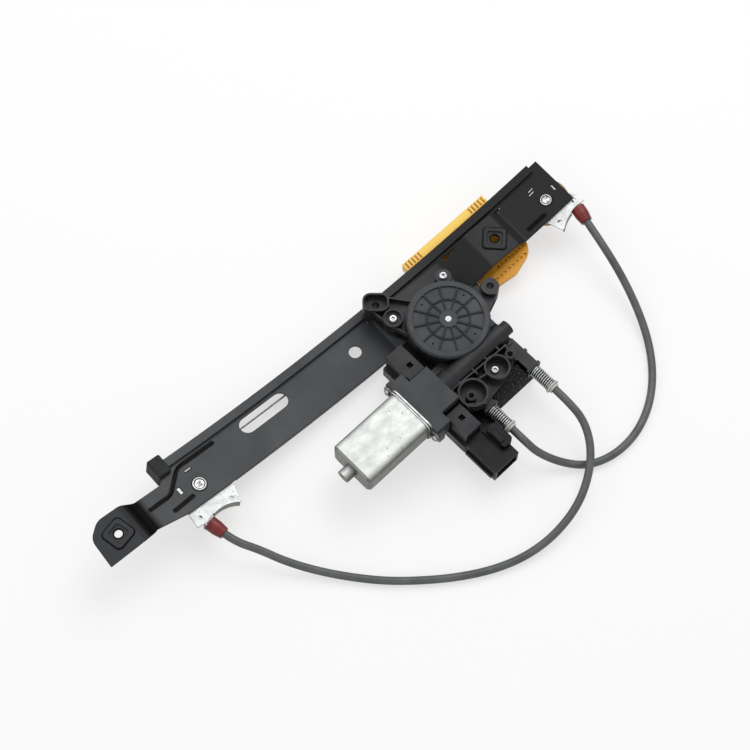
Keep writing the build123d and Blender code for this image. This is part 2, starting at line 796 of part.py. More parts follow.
cover_rim = 5.6
cover_ring_radius = 18.5
cover_hub_radius = 7.8
cover_rib = 1.5
cover_sink = 0.3            # ribs stand this far below the rim
with BuildPart() as gear_cover:
    with BuildSketch(unit(cover_bottom)):
        Circle(cover_radius)
    extrude(amount=cover_plate)
    with BuildSketch(unit(cover_bottom)):
        Circle(cover_radius)
        Circle(cover_radius - cover_rim, mode=Mode.SUBTRACT)
    extrude(amount=cover_top - cover_bottom)
    with BuildSketch(unit(cover_bottom)):
        Circle(cover_ring_radius + cover_rib / 2)
        Circle(cover_ring_radius - cover_rib / 2, mode=Mode.SUBTRACT)
        Circle(cover_hub_radius)
        with PolarLocations(0, cover_ribs):
            with Locations(((cover_hub_radius + cover_radius - cover_rim) / 2, 0)):
                Rectangle(cover_radius - cover_rim + 2 - cover_hub_radius, cover_rib)
    extrude(amount=cover_top - cover_bottom - cover_sink)
    chamfer(gear_cover.faces().sort_by(Axis.Z)[-1].outer_wire().edges(), 1.6)
    with Locations(unit(cover_bottom)):
        Hole(pin_radius)
gear_cover.part.label = "gear_cover"
export_step(gear_cover.part, "parts/gear_cover.step")

with BuildPart() as drum_pin:
    with BuildSketch(unit(unit_base)):
        Circle(pin_radius)
    extrude(amount=cover_top - unit_base)
    chamfer(drum_pin.faces().sort_by(Axis.Z)[-1].edges(), 0.5)
drum_pin.part.label = "drum_pin"
export_step(drum_pin.part, "parts/drum_pin.step")

# Worm wheel, with room left beside every tooth so that the worm's lead angle clears it
tooth_tip = 0.75
tooth_root = 1.35
hub_radius = 8.0
with BuildSketch() as tooth:
    with BuildLine():
        Polyline(
            (wheel_pitch_radius - 1.6 * gear_module, -tooth_root / 2),
            (wheel_pitch_radius + 0.8 * gear_module, -tooth_tip / 2),
            (wheel_pitch_radius + 0.8 * gear_module, tooth_tip / 2),
            (wheel_pitch_radius - 1.6 * gear_module, tooth_root / 2),
            close=True,
        )
    make_face()
with BuildPart() as worm_wheel:
    with BuildSketch(unit(wheel_bottom)):
        Circle(wheel_pitch_radius - 1.2 * gear_module)
        with PolarLocations(0, wheel_teeth):
            add(tooth.sketch)
    extrude(amount=wheel_width)
    with BuildSketch(unit(wheel_bottom + wheel_width)):
        Circle(wheel_pitch_radius - 5)
        Circle(hub_radius + 3, mode=Mode.SUBTRACT)
        with PolarLocations((wheel_pitch_radius - 5 + hub_radius) / 2 + 2, 3):
            Rectangle(14, 3, mode=Mode.SUBTRACT)
    extrude(amount=-wheel_width + 2.5, mode=Mode.SUBTRACT)
    with BuildSketch(unit(drum_bottom + drum_height + 0.2)):
        Circle(hub_radius)
    extrude(amount=wheel_bottom - drum_bottom - drum_height)
    with Locations(unit(drum_bottom)):
        Hole(pin_radius + running_gap)
worm_wheel.part.label = "worm_wheel"
export_step(worm_wheel.part, "parts/worm_wheel.step")

groove_pitch = 2.0
with BuildPart() as cable_drum:
    with BuildSketch(unit(drum_bottom)):
        Circle(drum_flange_radius)
    extrude(amount=drum_height)
    for groove in range(4):
        with BuildSketch(unit(drum_bottom + 1 + groove * groove_pitch)):
            Circle(drum_flange_radius + 1)
            Circle(drum_turn_radius - cable_radius - 0.1, mode=Mode.SUBTRACT)
        extrude(amount=groove_pitch - 0.6, mode=Mode.SUBTRACT)
    with BuildSketch(unit(drum_bottom + drum_height)):
        with PolarLocations(15.5, 6):
            Circle(4.5)
    extrude(amount=-drum_height, mode=Mode.SUBTRACT)
    with Locations(unit(drum_bottom)):
        Hole(pin_radius + running_gap)
cable_drum.part.label = "cable_drum"
export_step(cable_drum.part, "parts/cable_drum.step")

# Armature: shaft, worm, laminations, windings and commutator on one axis
with BuildPart() as armature_shaft:
    with BuildSketch(along_motor(can_face_u - can_length - 6)):
        Circle(shaft_radius)
    extrude(amount=29.5 - (can_face_u - can_length - 6))
armature_shaft.part.label = "armature_shaft"
export_step(armature_shaft.part, "parts/armature_shaft.step")

worm_length = 22.0
worm_pitch = pi * gear_module
thread_root = 1.5
thread_tip = 0.8
worm_root_radius = worm_radius - 1.25 * gear_module
worm_tip_radius = worm_radius + 0.8 * gear_module
with BuildPart() as upright_worm:
    Cylinder(worm_root_radius, worm_length + 4)
    with BuildLine():
        thread_path = Helix(worm_pitch, worm_length, worm_root_radius, center=(0, 0, -worm_length / 2))
    with BuildSketch(Plane(origin=thread_path @ 0, x_dir=(1, 0, 0), z_dir=thread_path % 0)):
        with BuildLine():
            Polyline(
                (-0.4, -thread_root / 2),
                (worm_tip_radius - worm_root_radius, -thread_tip / 2),
                (worm_tip_radius - worm_root_radius, thread_tip / 2),
                (-0.4, thread_root / 2),
                close=True,
            )
        make_face()
    sweep(path=thread_path, is_frenet=True)
    Cylinder(shaft_radius, worm_length + 8, mode=Mode.SUBTRACT)
# turned half round, so that a tooth gap of the wheel faces the thread
worm = upright_worm.part.moved(along_motor(0).location * Rotation(0, 0, 180))
worm.label = "worm"
export_step(worm, "parts/worm.step")

# Motor can with its bearing nub
can_back_u = can_face_u - can_length
nub_radius = 6.0
nub_length = 9.5
with BuildPart() as motor_can:
    with BuildSketch(along_motor(can_face_u)):
        RectangleRounded(can_width, can_depth, can_corner)
    extrude(amount=-can_length)
    chamfer(motor_can.faces().sort_by(Axis.X)[0].edges(), 2)
    with BuildSketch(along_motor(can_back_u)):
        Circle(nub_radius)
    extrude(amount=-nub_length)
    with BuildSketch(along_motor(can_face_u)):
        RectangleRounded(can_width + 4, can_depth + 2, can_corner)
        with Locations((ear_reach, 0), (-ear_reach, 0)):
            Circle(5.2)
        with Locations((can_width / 2 + 1, 0), (-can_width / 2 - 1, 0)):
            Rectangle(8, 10.4)
    extrude(amount=1.5)
    with BuildSketch(along_motor(can_face_u + 1.5)):
        RectangleRounded(can_width - 2 * can_wall, can_depth - 2 * can_wall, can_corner - can_wall)
    extrude(amount=-can_length, mode=Mode.SUBTRACT)
    with BuildSketch(along_motor(can_back_u + can_wall)):
        Circle(nub_radius - can_wall)
    extrude(amount=-nub_length, mode=Mode.SUBTRACT)
    with BuildSketch(along_motor(can_face_u)):
        with Locations((ear_reach, 0), (-ear_reach, 0)):
            Circle(screw_radius)
    extrude(amount=1.5, mode=Mode.SUBTRACT)
motor_can.part.label = "motor_can"
export_step(motor_can.part, "parts/motor_can.step")

with BuildPart() as motor_magnets:
    with BuildSketch(along_motor(can_back_u + 8)):
        RectangleRounded(can_width - 2 * can_wall, can_depth - 2 * can_wall, can_corner - can_wall)
        Circle(lamination_radius + 0.9, mode=Mode.SUBTRACT)
        Rectangle(13, can_depth, mode=Mode.SUBTRACT)
    extrude(amount=lamination_length + 6)
motor_magnets.part.label = "motor_magnets"
export_step(motor_magnets.part, "parts/motor_magnets.step")

armature_slots = 8
lamination_u = can_back_u + 11
with BuildPart() as lamination_stack:
    with BuildSketch(along_motor(lamination_u)):
        Circle(lamination_radius)
        with PolarLocations(lamination_radius - 3.2, armature_slots):
            RectangleRounded(5, 3, 1, mode=Mode.SUBTRACT)
        with PolarLocations(lamination_radius - 0.5, armature_slots):
            Rectangle(3, 1.2, mode=Mode.SUBTRACT)
        Circle(shaft_radius, mode=Mode.SUBTRACT)
    extrude(amount=lamination_length)
lamination_stack.part.label = "lamination_stack"
export_step(lamination_stack.part, "parts/lamination_stack.step")

winding_end = 7.0
with BuildPart() as armature_windings:
    for u, reach in ((lamination_u, -winding_end), (lamination_u + lamination_length, winding_end)):
        with BuildSketch(along_motor(u)):
            Circle(lamination_radius - 1)
            Circle(shaft_radius, mode=Mode.SUBTRACT)
        extrude(amount=reach)
    chamfer(armature_windings.edges().filter_by(GeomType.CIRCLE)
            .filter_by(lambda edge: edge.radius > shaft_radius + 1), 1.5)
armature_windings.part.label = "armature_windings"
export_step(armature_windings.part, "parts/armature_windings.step")

commutator_u = -77.0
with BuildPart() as commutator:
    with BuildSketch(along_motor(commutator_u)):
        Circle(commutator_radius)
        with PolarLocations(commutator_radius, armature_slots, start_angle=10):
            Rectangle(2, 0.6, mode=Mode.SUBTRACT)
        Circle(shaft_radius, mode=Mode.SUBTRACT)
    extrude(amount=12)
commutator.part.label = "commutator"
export_step(commutator.part, "parts/commutator.step")

# Brush housing between the can and the worm tube
brush_left_u = can_face_u + 1.5
brush_low_v = -57.0
brush_high_v = -18.5
brush_bottom = 24.0
brush_top = 49.5
brush_bore = 9.0
shoulder_length = 15.0      # wide part beside the can's flange
shoulder_width = 58.0
ear_low = 31.0
ear_high = 46.0
ear_depth = 6.0
brush_mid_v = (brush_low_v + brush_high_v) / 2
with BuildPart() as brush_housing:
    with BuildSketch(unit(brush_bottom)):
        with Locations(((brush_left_u + tube_left_u) / 2, brush_mid_v)):
            Rectangle(tube_left_u - brush_left_u, brush_high_v - brush_low_v)
    extrude(amount=brush_top - brush_bottom)
    with BuildSketch(unit(brush_bottom + 2)):
        with Locations((brush_left_u + shoulder_length / 2, worm_v)):
            Rectangle(shoulder_length, shoulder_width)
    extrude(amount=brush_top - brush_bottom - 2)
    # ears behind the can's flange
    with BuildSketch(unit(ear_low)):
        with Locations((brush_left_u + ear_depth / 2, worm_v)):
            Rectangle(ear_depth, 2 * ear_reach + 9)
    extrude(amount=ear_high - ear_low)
    with BuildSketch(along_motor(brush_left_u)):
        Circle(brush_bore)
    extrude(amount=tube_left_u - brush_left_u - 5, mode=Mode.SUBTRACT)
    with BuildSketch(along_motor(tube_left_u)):
        Circle(shaft_radius + 2)
    extrude(amount=-8, mode=Mode.SUBTRACT)
    with BuildSketch(along_motor(brush_left_u)):
        with Locations((ear_reach, 0), (-ear_reach, 0)):
            Circle(screw_radius - 0.3)
    extrude(amount=ear_depth + 4, mode=Mode.SUBTRACT)
brush_housing.part.label = "brush_housing"
export_step(brush_housing.part, "parts/brush_housing.step")

# Carbon brushes in their guides, one each side of the commutator
brush_side = 5.0
brush_u = commutator_u + 6
with BuildPart() as brushes:
    with BuildSketch(along_motor(brush_u - brush_side / 2)):
        for across_v in (1, -1):
            with Locations((across_v * (commutator_radius + 1.0), 0)):
                Rectangle(1.8, brush_side)
    extrude(amount=brush_side)
brushes.part.label = "brushes"
export_step(brushes.part, "parts/brushes.step")

# Sintered bushes for the shaft
with BuildPart() as shaft_bushes:
    for u, radius, length in ((can_back_u - 7.5, nub_radius - can_wall, 6), (tube_left_u - 5, shaft_radius + 2, 5),
                              (24, 5, 5)):
        with BuildSketch(along_motor(u)):
            Circle(radius)
            Circle(shaft_radius + running_gap, mode=Mode.SUBTRACT)
        extrude(amount=length)
shaft_bushes.part.label = "shaft_bushes"
export_step(shaft_bushes.part, "parts/shaft_bushes.step")


def torx_screw(head, shank, length, head_height):
    """Pan-head screw standing on local z = 0 with its shank below."""
    with BuildPart() as screw:
        Cylinder(head, head_height, align=(Align.CENTER, Align.CENTER, Align.MIN))
        chamfer(screw.faces().sort_by(Axis.Z)[-1].edges(), head_height / 3)
        Cylinder(shank, length, align=(Align.CENTER, Align.CENTER, Align.MAX))
        with BuildSketch(Plane.XY.offset(head_height)):
            with PolarLocations(head * 0.28, 6):
                Circle(head * 0.16)
            Circle(head * 0.33)
        extrude(amount=-head_height * 0.6, mode=Mode.SUBTRACT)
    return screw.part


unit_screw = torx_screw(3.6, screw_radius, split_z + 7 - unit_base + sheet + 2.5, 2.2)
low_unit_screw = torx_screw(3.6, screw_radius, shelf_top - unit_base, 2.2)
housing_screws = Compound(label="housing_screws", children=[
    unit_screw.moved(unit(split_z + 7, *lugs[0]).location),
    unit_screw.moved(unit(split_z + 7, *lugs[1]).location),
    low_unit_screw.moved(unit(shelf_top, *low_screw).location),
])
export_step(housing_screws, "parts/housing_screws.step")

motor_screw = torx_screw(3.4, screw_radius - 0.3, 8, 2.4)
motor_turn = Rotation(0, 180, 0)
motor_screws = Compound(label="motor_screws", children=[
    motor_screw.moved(along_motor(can_face_u, worm_v + v).location * motor_turn)
    for v in (ear_reach, -ear_reach)
])
export_step(motor_screws, "parts/motor_screws.step")

# Control housing under the brush housing, with its two latches and the plug socket
control_low_v = -88.0
control_high_v = 13.0
control_left_u = -66.0
control_right_u = -48.0
control_bottom = 12.0
with BuildPart() as control_housing:
    with BuildSketch(unit(control_bottom)):
        with Locations(((control_left_u + control_right_u) / 2, (control_low_v + control_high_v) / 2)):
            RectangleRounded(control_right_u - control_left_u, control_high_v - control_low_v, 2)
    extrude(amount=brush_bottom - control_bottom)
    with BuildSketch(unit(brush_bottom)):
        with Locations((-53, -1.5)):
            Rectangle(17, 29)
        with Locations((-54.6, -72.5)):
            Rectangle(16.8, 25)
    extrude(amount=42 - brush_bottom)
    with BuildSketch(unit(42)):
        with Locations((-52, -6), (-54, -70)):
            Rectangle(5, 5)
    extrude(amount=-6, mode=Mode.SUBTRACT)
    with BuildSketch(unit(control_bottom + 2)):
        with Locations(((control_left_u + control_right_u) / 2, (control_low_v + control_high_v) / 2)):
            Rectangle(control_right_u - control_left_u - 4, control_high_v - control_low_v - 4)
    extrude(amount=brush_bottom - control_bottom - 4, mode=Mode.SUBTRACT)
control_housing.part.label = "control_housing"
export_step(control_housing.part, "parts/control_housing.step")

with BuildPart() as control_board:
    with BuildSketch(unit(control_bottom + 4)):
        with Locations(((control_left_u + control_right_u) / 2, (control_low_v + control_high_v) / 2)):
            Rectangle(control_right_u - control_left_u - 4, control_high_v - control_low_v - 4)
    extrude(amount=1.6)
control_board.part.label = "control_board"
export_step(control_board.part, "parts/control_board.step")

socket_left_u = -65.0
socket_right_u = -38.0
socket_mouth_v = -122.3
socket_bottom = 10.5
socket_top = 29.5
socket_wall = 2.0
socket_mid_u = (socket_left_u + socket_right_u) / 2
with BuildPart() as plug_socket:
    with BuildSketch(unit(socket_bottom)):
        with Locations((socket_mid_u, (socket_mouth_v + control_low_v) / 2)):
            Rectangle(socket_right_u - socket_left_u, control_low_v - socket_mouth_v)
    extrude(amount=socket_top - socket_bottom)
    with BuildSketch(unit(socket_bottom + socket_wall)):
        with Locations((socket_mid_u, (socket_mouth_v + control_low_v) / 2 - 4)):
            Rectangle(socket_right_u - socket_left_u - 2 * socket_wall, control_low_v - socket_mouth_v)
    extrude(amount=socket_top - socket_bottom - 2 * socket_wall, mode=Mode.SUBTRACT)
    # guide rail on the side, and the bridge of the catch on top
    with BuildSketch(unit(socket_bottom + 4)):
        with Locations((socket_left_u - 1, (socket_mouth_v + control_low_v) / 2 + 1)):
            Rectangle(2.4, control_low_v - socket_mouth_v - 4)
    extrude(amount=5)
    with BuildSketch(unit(socket_top - 0.5)):
        with Locations((socket_right_u - 5, control_low_v - 10)):
            Rectangle(8, 20)
    extrude(amount=2.5)
plug_socket.part.label = "plug_socket"
export_step(plug_socket.part, "parts/plug_socket.step")

pin_count = 3
with BuildPart() as socket_pins:
    for row in (0, 1):
        with BuildSketch(unit(16 + row * 7, socket_mid_u, control_low_v - 10)):
            with GridLocations(7, 1, pin_count, 1):
                Rectangle(2.4, 12)
        extrude(amount=0.8)
socket_pins.part.label = "socket_pins"
export_step(socket_pins.part, "parts/socket_pins.step")

# Foam pad that closes the gap to the door's inner panel
foam_bottom = 0.0
with BuildPart() as foam_pad:
    with BuildSketch(unit(foam_bottom)):
        with Locations((0, -54)):
            Rectangle(63, 48)
    extrude(amount=unit_base - foam_bottom)
    with BuildSketch(unit(unit_base)):
        with Locations((0, -71)):
            Rectangle(2 * (drum_turn_radius - outlet_rim) - outlet_width, 14)
    extrude(amount=9)
foam_pad.part.label = "foam_pad"
export_step(foam_pad.part, "parts/foam_pad.step")

# Sprung cable outlets
spring_radius = 5.75
spring_wire = 1.3
spring_turns = 9
spring_length = 19.0
cap_length = 4.0
outlet_names = {1: "lower_conduit", -1: "upper_conduit"}
mean_radius = spring_radius - spring_wire / 2
with BuildPart() as upright_spring:
    with BuildLine():
        coil_path = Helix(pitch=spring_length / spring_turns, height=spring_length, radius=mean_radius)
    with BuildSketch(Plane(origin=coil_path @ 0, x_dir=(1, 0, 0), z_dir=coil_path % 0)):
        Rectangle(spring_wire, spring_wire)
    sweep(path=coil_path, is_frenet=True)
for side, name in outlet_names.items():
    spring = upright_spring.part.moved(along_outlet(outlet_end_v - spring_wire / 2, side).location)
    spring.label = name + "_spring"
    export_step(spring, "parts/" + name + "_spring.step")

    with BuildPart() as cap:
        with BuildSketch(along_outlet(outlet_end_v - spring_length - spring_wire, side)):
            Circle(spring_radius + 1)
            Circle(cable_radius, mode=Mode.SUBTRACT)
        extrude(amount=cap_length)
    cap.part.label = name + "_cap"
    export_step(cap.part, "parts/" + name + "_cap.step")

with BuildPart() as drum_cables:
    for side in (1, -1):
        with BuildSketch(along_outlet(-12, side)):
            Circle(cable_radius)
        extrude(amount=-outlet_end_v + spring_length + spring_wire - 12)
drum_cables.part.label = "drum_cables"
export_step(drum_cables.part, "parts/drum_cables.step")


def bend_radii(points):
    """Largest easy radius at each corner of a cord's hand-set points."""
    radii = []
    for before, corner, after in zip(points, points[1:], points[2:]):
        run_in = Vector(corner) - Vector(before)
        run_out = Vector(after) - Vector(corner)
        half_turn = radians(run_in.get_angle(run_out)) / 2
        radii.append(0.45 * min(run_in.length, run_out.length) / tan(half_turn))
    return radii


def cord(points):
    """Conduit along hand-set points."""
    with BuildPart() as sheath:
        with BuildLine() as sheath_path:
            FilletPolyline(*points, radius=bend_radii(points))
        with BuildSketch(Plane(origin=sheath_path.line @ 0, z_dir=sheath_path.line % 0)):
            Circle(conduit_radius)
        sweep(path=sheath_path.line)
    return sheath.part


cap_end_v = outlet_end_v - spring_length - spring_wire - cap_length
upper_start = exit_plane(upper_pulley_x, 1, upper_exit_angle, upper_ferrule_start + ferrule_length)
upper_end = along_outlet(cap_end_v, -1)
lower_start = exit_plane(lower_pulley_x, -1, lower_exit_angle, lower_ferrule_start + ferrule_length)
lower_end = along_outlet(cap_end_v, 1)

upper_conduit = cord([
    upper_start.origin,
    upper_start.origin + upper_start.z_dir * 17,
    (242.9, -29.5, 22),
    (235.5, -60.7, 12),
    (222.3, -92.2, 5),
    (202.7, -118.3, 3.7),
    (179.1, -137.2, 3.7),
    (152.6, -148, 3.7),
    (125.4, -149.5, 3.7),
    (101.1, -141.4, 4.2),
    (85, -125, 8),
    (73, -107, 18),
    upper_end.origin + upper_end.z_dir * 15,
    upper_end.origin,
])
upper_conduit.label = "upper_conduit"
export_step(upper_conduit, "parts/upper_conduit.step")

lower_conduit = cord([
    lower_start.origin,
    lower_start.origin + lower_start.z_dir * 12,
    (-158, -16, 18.5),
    (-147, -37, 11.5),
    (-130.6, -60.9, 6),
    (-109.3, -87, 3.8),
    (-86.2, -110.9, 3.7),
    (-46.6, -141.4, 3.7),
    (-8.1, -160.9, 4.2),
    (28, -168, 7),
    (64, -164, 12),
    (91, -151, 16.5),
    (111, -133, 19),
    (121.5, -112, 22.5),
    lower_end.origin + lower_end.z_dir * 14,
    lower_end.origin,
])
lower_conduit.label = "lower_conduit"
export_step(lower_conduit, "parts/lower_conduit.step")

# Window carrier
strip_low_y = 82.6
strip_high_y = 100.5
strip_low = -12.0
strip_high = 1.5
strip_inner_y = rail_high_y + guide_gap
lobe_low = -11.8
lobe_top = -6.5
lip_inner_y = rail_high_y - track_lip - guide_gap
track_wall_y = rail_high_y - sheet
track_riser_y = rail_high_y - track_width + sheet
shoe_low = -track_drop + sheet + guide_gap
shoe_mid = -sheet - 1.5
shoe_top = track_rise - sheet - guide_gap
shoe_length = 20.0
bridge_top = -track_drop - guide_gap
with BuildPart() as guide_blank:
    with BuildSketch(across(carrier_right_x)):
        with BuildLine():
            Polyline(
                (strip_low_y, strip_low),
                (strip_high_y, strip_low),
                (strip_high_y, strip_high),
                (strip_inner_y, strip_high),
                (strip_inner_y, bridge_top),
                (lip_inner_y, bridge_top),
                (lip_inner_y, shoe_low),
                (track_wall_y - guide_gap, shoe_low),
                (track_wall_y - guide_gap, shoe_top),
                (track_riser_y + guide_gap, shoe_top),
                (track_riser_y + guide_gap, shoe_mid),
                (strip_low_y, shoe_mid),
                close=True,
            )
        make_face()
    revolve(axis=far_axis, revolution_arc=degrees(tilt(carrier_right_x) - tilt(carrier_left_x)))
    add(band(carrier_left_x + shoe_length, carrier_right_x - shoe_length, track_riser_y - 1,
             track_wall_y + 1, shoe_mid - 0.4, shoe_top + 1), mode=Mode.SUBTRACT)
with BuildPart() as lobe_plan:
    with BuildSketch(Plane.XY):
        with BuildLine():
            FilletPolyline(
                (lobe_left_x, strip_low_y + 1),
                (lobe_left_x, 46),
                (152, lobe_low_y + 3),
                (176, lobe_low_y),
                (196, lobe_low_y + 6),
                (lobe_right_x, 48),
                (lobe_right_x, strip_low_y + 1),
                radius=[10, 8, 12, 10, 10],
            )
            Line((lobe_right_x, strip_low_y + 1), (lobe_left_x, strip_low_y + 1))
        make_face()
    extrude(amount=60)
    add(band(140.0, 215.0, 20.0, 90.0, lobe_low, lobe_top), mode=Mode.INTERSECT)
pocket_pitch = 4.7          # row of pockets along the lobe's free edge
pocket_radius = 2.0
hole_pitch = 4.1            # field of small holes inside the ridge
hole_side = 2.2
ridge_y = 39.2
ridge_width = 1.3
with BuildPart() as lobe_pockets:
    with BuildSketch(Plane.XY):
        with Locations((176, 35)):
            with GridLocations(pocket_pitch, 1, 8, 1):
                RegularPolygon(pocket_radius, 3)
        with Locations((184.5, 47.2)):
            with GridLocations(hole_pitch, hole_pitch, 9, 3):
                Rectangle(hole_side, hole_side)
    extrude(amount=60)
    add(band(140.0, 215.0, 20.0, 90.0, lobe_top - 3, lobe_top + 1), mode=Mode.INTERSECT)

nipple_length = 6.0
nipple_radius = 2.2
nipple_bore = cable_radius + 0.15
nipple_stations = (156.0, 180.0)
clamp_x = 162.0
clamp_y = 51.0
clamp_left_x = 150.0
clamp_right_x = 204.0
clamp_low_y = 36.0
clamp_high_y = 66.0
clamp_screw_radius = 2.5
clamp_seat = lobe_top - 0.3
block_top = -3.6
block_low_y = 72.5
with BuildPart() as carrier:
    add(guide_blank.part)
    add(lobe_plan.part)
    # channel block that holds the lifting cable's nipples
    add(band(152.0, 190.0, block_low_y, strip_low_y + 0.5, lobe_low + 1, block_top))
    # ridge between the two fields of the lobe
    add(band(lobe_left_x + 8, lobe_right_x - 6, ridge_y, ridge_y + ridge_width, lobe_low + 1, lobe_top + 0.9))
    # wall between the carrier and the glass clamp
    add(band(clamp_left_x - 1, clamp_left_x + 3, clamp_low_y + 18, clamp_high_y, strip_low - glass_gap,
             lobe_low + 1))
    add(lobe_pockets.part, mode=Mode.SUBTRACT)
    for groove in range(grip_count):
        reach = 1.8 + groove * grip_pitch
        for start in (carrier_left_x + reach, carrier_right_x - reach - grip_groove):
            add(band(start, start + grip_groove, strip_inner_y + 1.2, strip_high_y + 1,
                     strip_high - grip_depth, strip_high + 1), mode=Mode.SUBTRACT)
    add(band(142.0, 210.0, cable_y - 1.1, cable_y + 1.1, cable_depth - 1.3, 0), mode=Mode.SUBTRACT)
    for x in nipple_stations:
        with BuildSketch(across(x)):
            with Locations((cable_y, cable_depth)):
                Circle(nipple_radius)
            with Locations((cable_y, cable_depth + 2)):
                Rectangle(2 * nipple_radius, 4)
        extrude(amount=nipple_length, mode=Mode.SUBTRACT)
    with BuildSketch(station(clamp_x, clamp_y)):
        Circle(clamp_screw_radius)
    extrude(amount=-30, mode=Mode.SUBTRACT)
    # flat seat under the screw's head
    with BuildSketch(station(clamp_x, clamp_y, clamp_seat)):
        Circle(5.2)
    extrude(amount=2, mode=Mode.SUBTRACT)
carrier.part.label = "carrier"
export_step(carrier.part, "parts/carrier.step")

jaw_low = strip_low - glass_gap - jaw_thickness
nut_height = 2.7
nut_flats = 8.0
with BuildPart() as glass_clamp:
    add(band(clamp_left_x, clamp_right_x, clamp_low_y, clamp_high_y, jaw_low, strip_low - glass_gap))
    with BuildSketch(station(clamp_x, clamp_y)):
        Circle(clamp_screw_radius)
    extrude(amount=-30, mode=Mode.SUBTRACT)
    with BuildSketch(station(clamp_x, clamp_y, jaw_low)):
        RegularPolygon(nut_flats / 2, 6, major_radius=False)
    extrude(amount=nut_height, mode=Mode.SUBTRACT)
glass_clamp.part.label = "glass_clamp"
export_step(glass_clamp.part, "parts/glass_clamp.step")

with BuildPart() as clamp_nut:
    with BuildSketch(station(clamp_x, clamp_y, jaw_low)):
        RegularPolygon(nut_flats / 2, 6, major_radius=False)
        Circle(clamp_screw_radius, mode=Mode.SUBTRACT)
    extrude(amount=nut_height)
clamp_nut.part.label = "clamp_nut"
export_step(clamp_nut.part, "parts/clamp_nut.step")

clamp_screw = torx_screw(4.6, clamp_screw_radius, clamp_seat - jaw_low, 2.2)
clamp_screw = clamp_screw.moved(station(clamp_x, clamp_y, clamp_seat).location)
clamp_screw.label = "clamp_screw"
export_step(clamp_screw, "parts/clamp_screw.step")

with BuildPart() as cable_nipples:
    for x in nipple_stations:
        with BuildSketch(across(x)):
            with Locations((cable_y, cable_depth)):
                Circle(nipple_radius)
                Circle(nipple_bore, mode=Mode.SUBTRACT)
        extrude(amount=nipple_length)
cable_nipples.part.label = "cable_nipples"
export_step(cable_nipples.part, "parts/cable_nipples.step")

with BuildPart() as drum_windings:
    for groove in (0, 1, 2):
        with BuildSketch(unit(drum_bottom + 1 + groove * groove_pitch)):
            Circle(drum_turn_radius + cable_radius)
            Circle(drum_turn_radius - cable_radius, mode=Mode.SUBTRACT)
        extrude(amount=groove_pitch - 0.6)
drum_windings.part.label = "drum_windings"
export_step(drum_windings.part, "parts/drum_windings.step")
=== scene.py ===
import math

import bpy
import numpy as np
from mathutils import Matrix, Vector


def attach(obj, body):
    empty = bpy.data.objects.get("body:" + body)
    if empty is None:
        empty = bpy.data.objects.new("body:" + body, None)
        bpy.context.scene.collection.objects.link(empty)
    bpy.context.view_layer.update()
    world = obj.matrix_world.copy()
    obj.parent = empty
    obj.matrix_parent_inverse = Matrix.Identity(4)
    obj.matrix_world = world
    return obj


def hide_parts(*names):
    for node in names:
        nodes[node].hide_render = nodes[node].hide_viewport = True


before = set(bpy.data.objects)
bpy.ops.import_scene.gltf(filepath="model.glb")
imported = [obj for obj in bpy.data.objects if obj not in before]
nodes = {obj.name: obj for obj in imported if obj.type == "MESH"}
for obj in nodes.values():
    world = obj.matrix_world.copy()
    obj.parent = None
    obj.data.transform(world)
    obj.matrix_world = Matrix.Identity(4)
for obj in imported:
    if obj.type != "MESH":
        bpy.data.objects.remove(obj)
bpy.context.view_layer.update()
rng = np.random.default_rng(7)
print("frame loaded:", len(nodes), "nodes")


# places, mm
place = {
    "drum": (90.3, 25.3),        # drum axis
    "unitTurn": 2.6,             # degrees from the rail
    "wormV": -38.0,              # worm axis, in the drive unit's own directions
    "wormZ": 38.4,
    "bendX": 27.0,               # lowest point of the rail's arc
    "bendRadius": 1000.0,
    "webTop": 12.0,              # top of the rail's web there
}


def unitPoint(u, v, z):
    # drive unit's own axes to metres: (u, v) turned by the unit's angle, then set on the drum axis
    turn = math.radians(place["unitTurn"])
    u, v, z = np.broadcast_arrays(u, v, z)
    x = place["drum"][0] + u * math.cos(turn) - v * math.sin(turn)
    y = place["drum"][1] + u * math.sin(turn) + v * math.cos(turn)
    return np.stack([x, y, z], axis=-1) / 1000


def railSlope(x):
    # angle of the rail's arc: arcsine of the distance from its lowest point over its radius
    return np.arcsin((x - place["bendX"]) / place["bendRadius"])


def railPoint(x, y, depth):
    # along the rail, across it and out of its web, to metres: the arc's point, plus depth times
    # the normal there
    x, y, depth = np.broadcast_arrays(x, y, depth)
    slope = railSlope(x)
    z = place["webTop"] + place["bendRadius"] * (1 - np.cos(slope))
    return np.stack([x - depth * np.sin(slope), y, z + depth * np.cos(slope)], axis=-1) / 1000


def webNormal(x):
    # normal of the rail's web: minus the sine of its slope, zero, the cosine
    slope = railSlope(x)
    return np.array([-math.sin(slope), 0, math.cos(slope)])


def flatPoint(x, y, z):
    # the frame's own axes, mm to metres
    return np.stack(np.broadcast_arrays(x, y, z), axis=-1) / 1000


# mesh helpers
fineness = {
    "aroundSteps": 48,       # steps round a turned piece
    "rimRings": 4,           # rings of a slab's rim
    "cornerSteps": 6,        # steps of a box's corner
    "slabSharp": 50,         # degrees from which a slab's edge stays sharp
}


def meshPiece(name, verts, faces, material, body, node=None, slot=None, sharp=None):
    # a smooth mesh from points in metres, riding on its body in place of its node
    mesh = bpy.data.meshes.new(name)
    mesh.from_pydata(np.asarray(verts, float).reshape(-1, 3).tolist(), [], faces)
    mesh.validate()
    mesh.polygons.foreach_set("use_smooth", np.full(len(mesh.polygons), True))
    mesh.materials.append(material)
    if sharp:
        mesh.set_sharp_from_angle(angle=math.radians(sharp))
    mesh.update()
    piece = bpy.data.objects.new(name, mesh)
    bpy.context.scene.collection.objects.link(piece)
    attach(piece, body)
    if node:
        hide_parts(*([node] if isinstance(node, str) else node))
    return piece


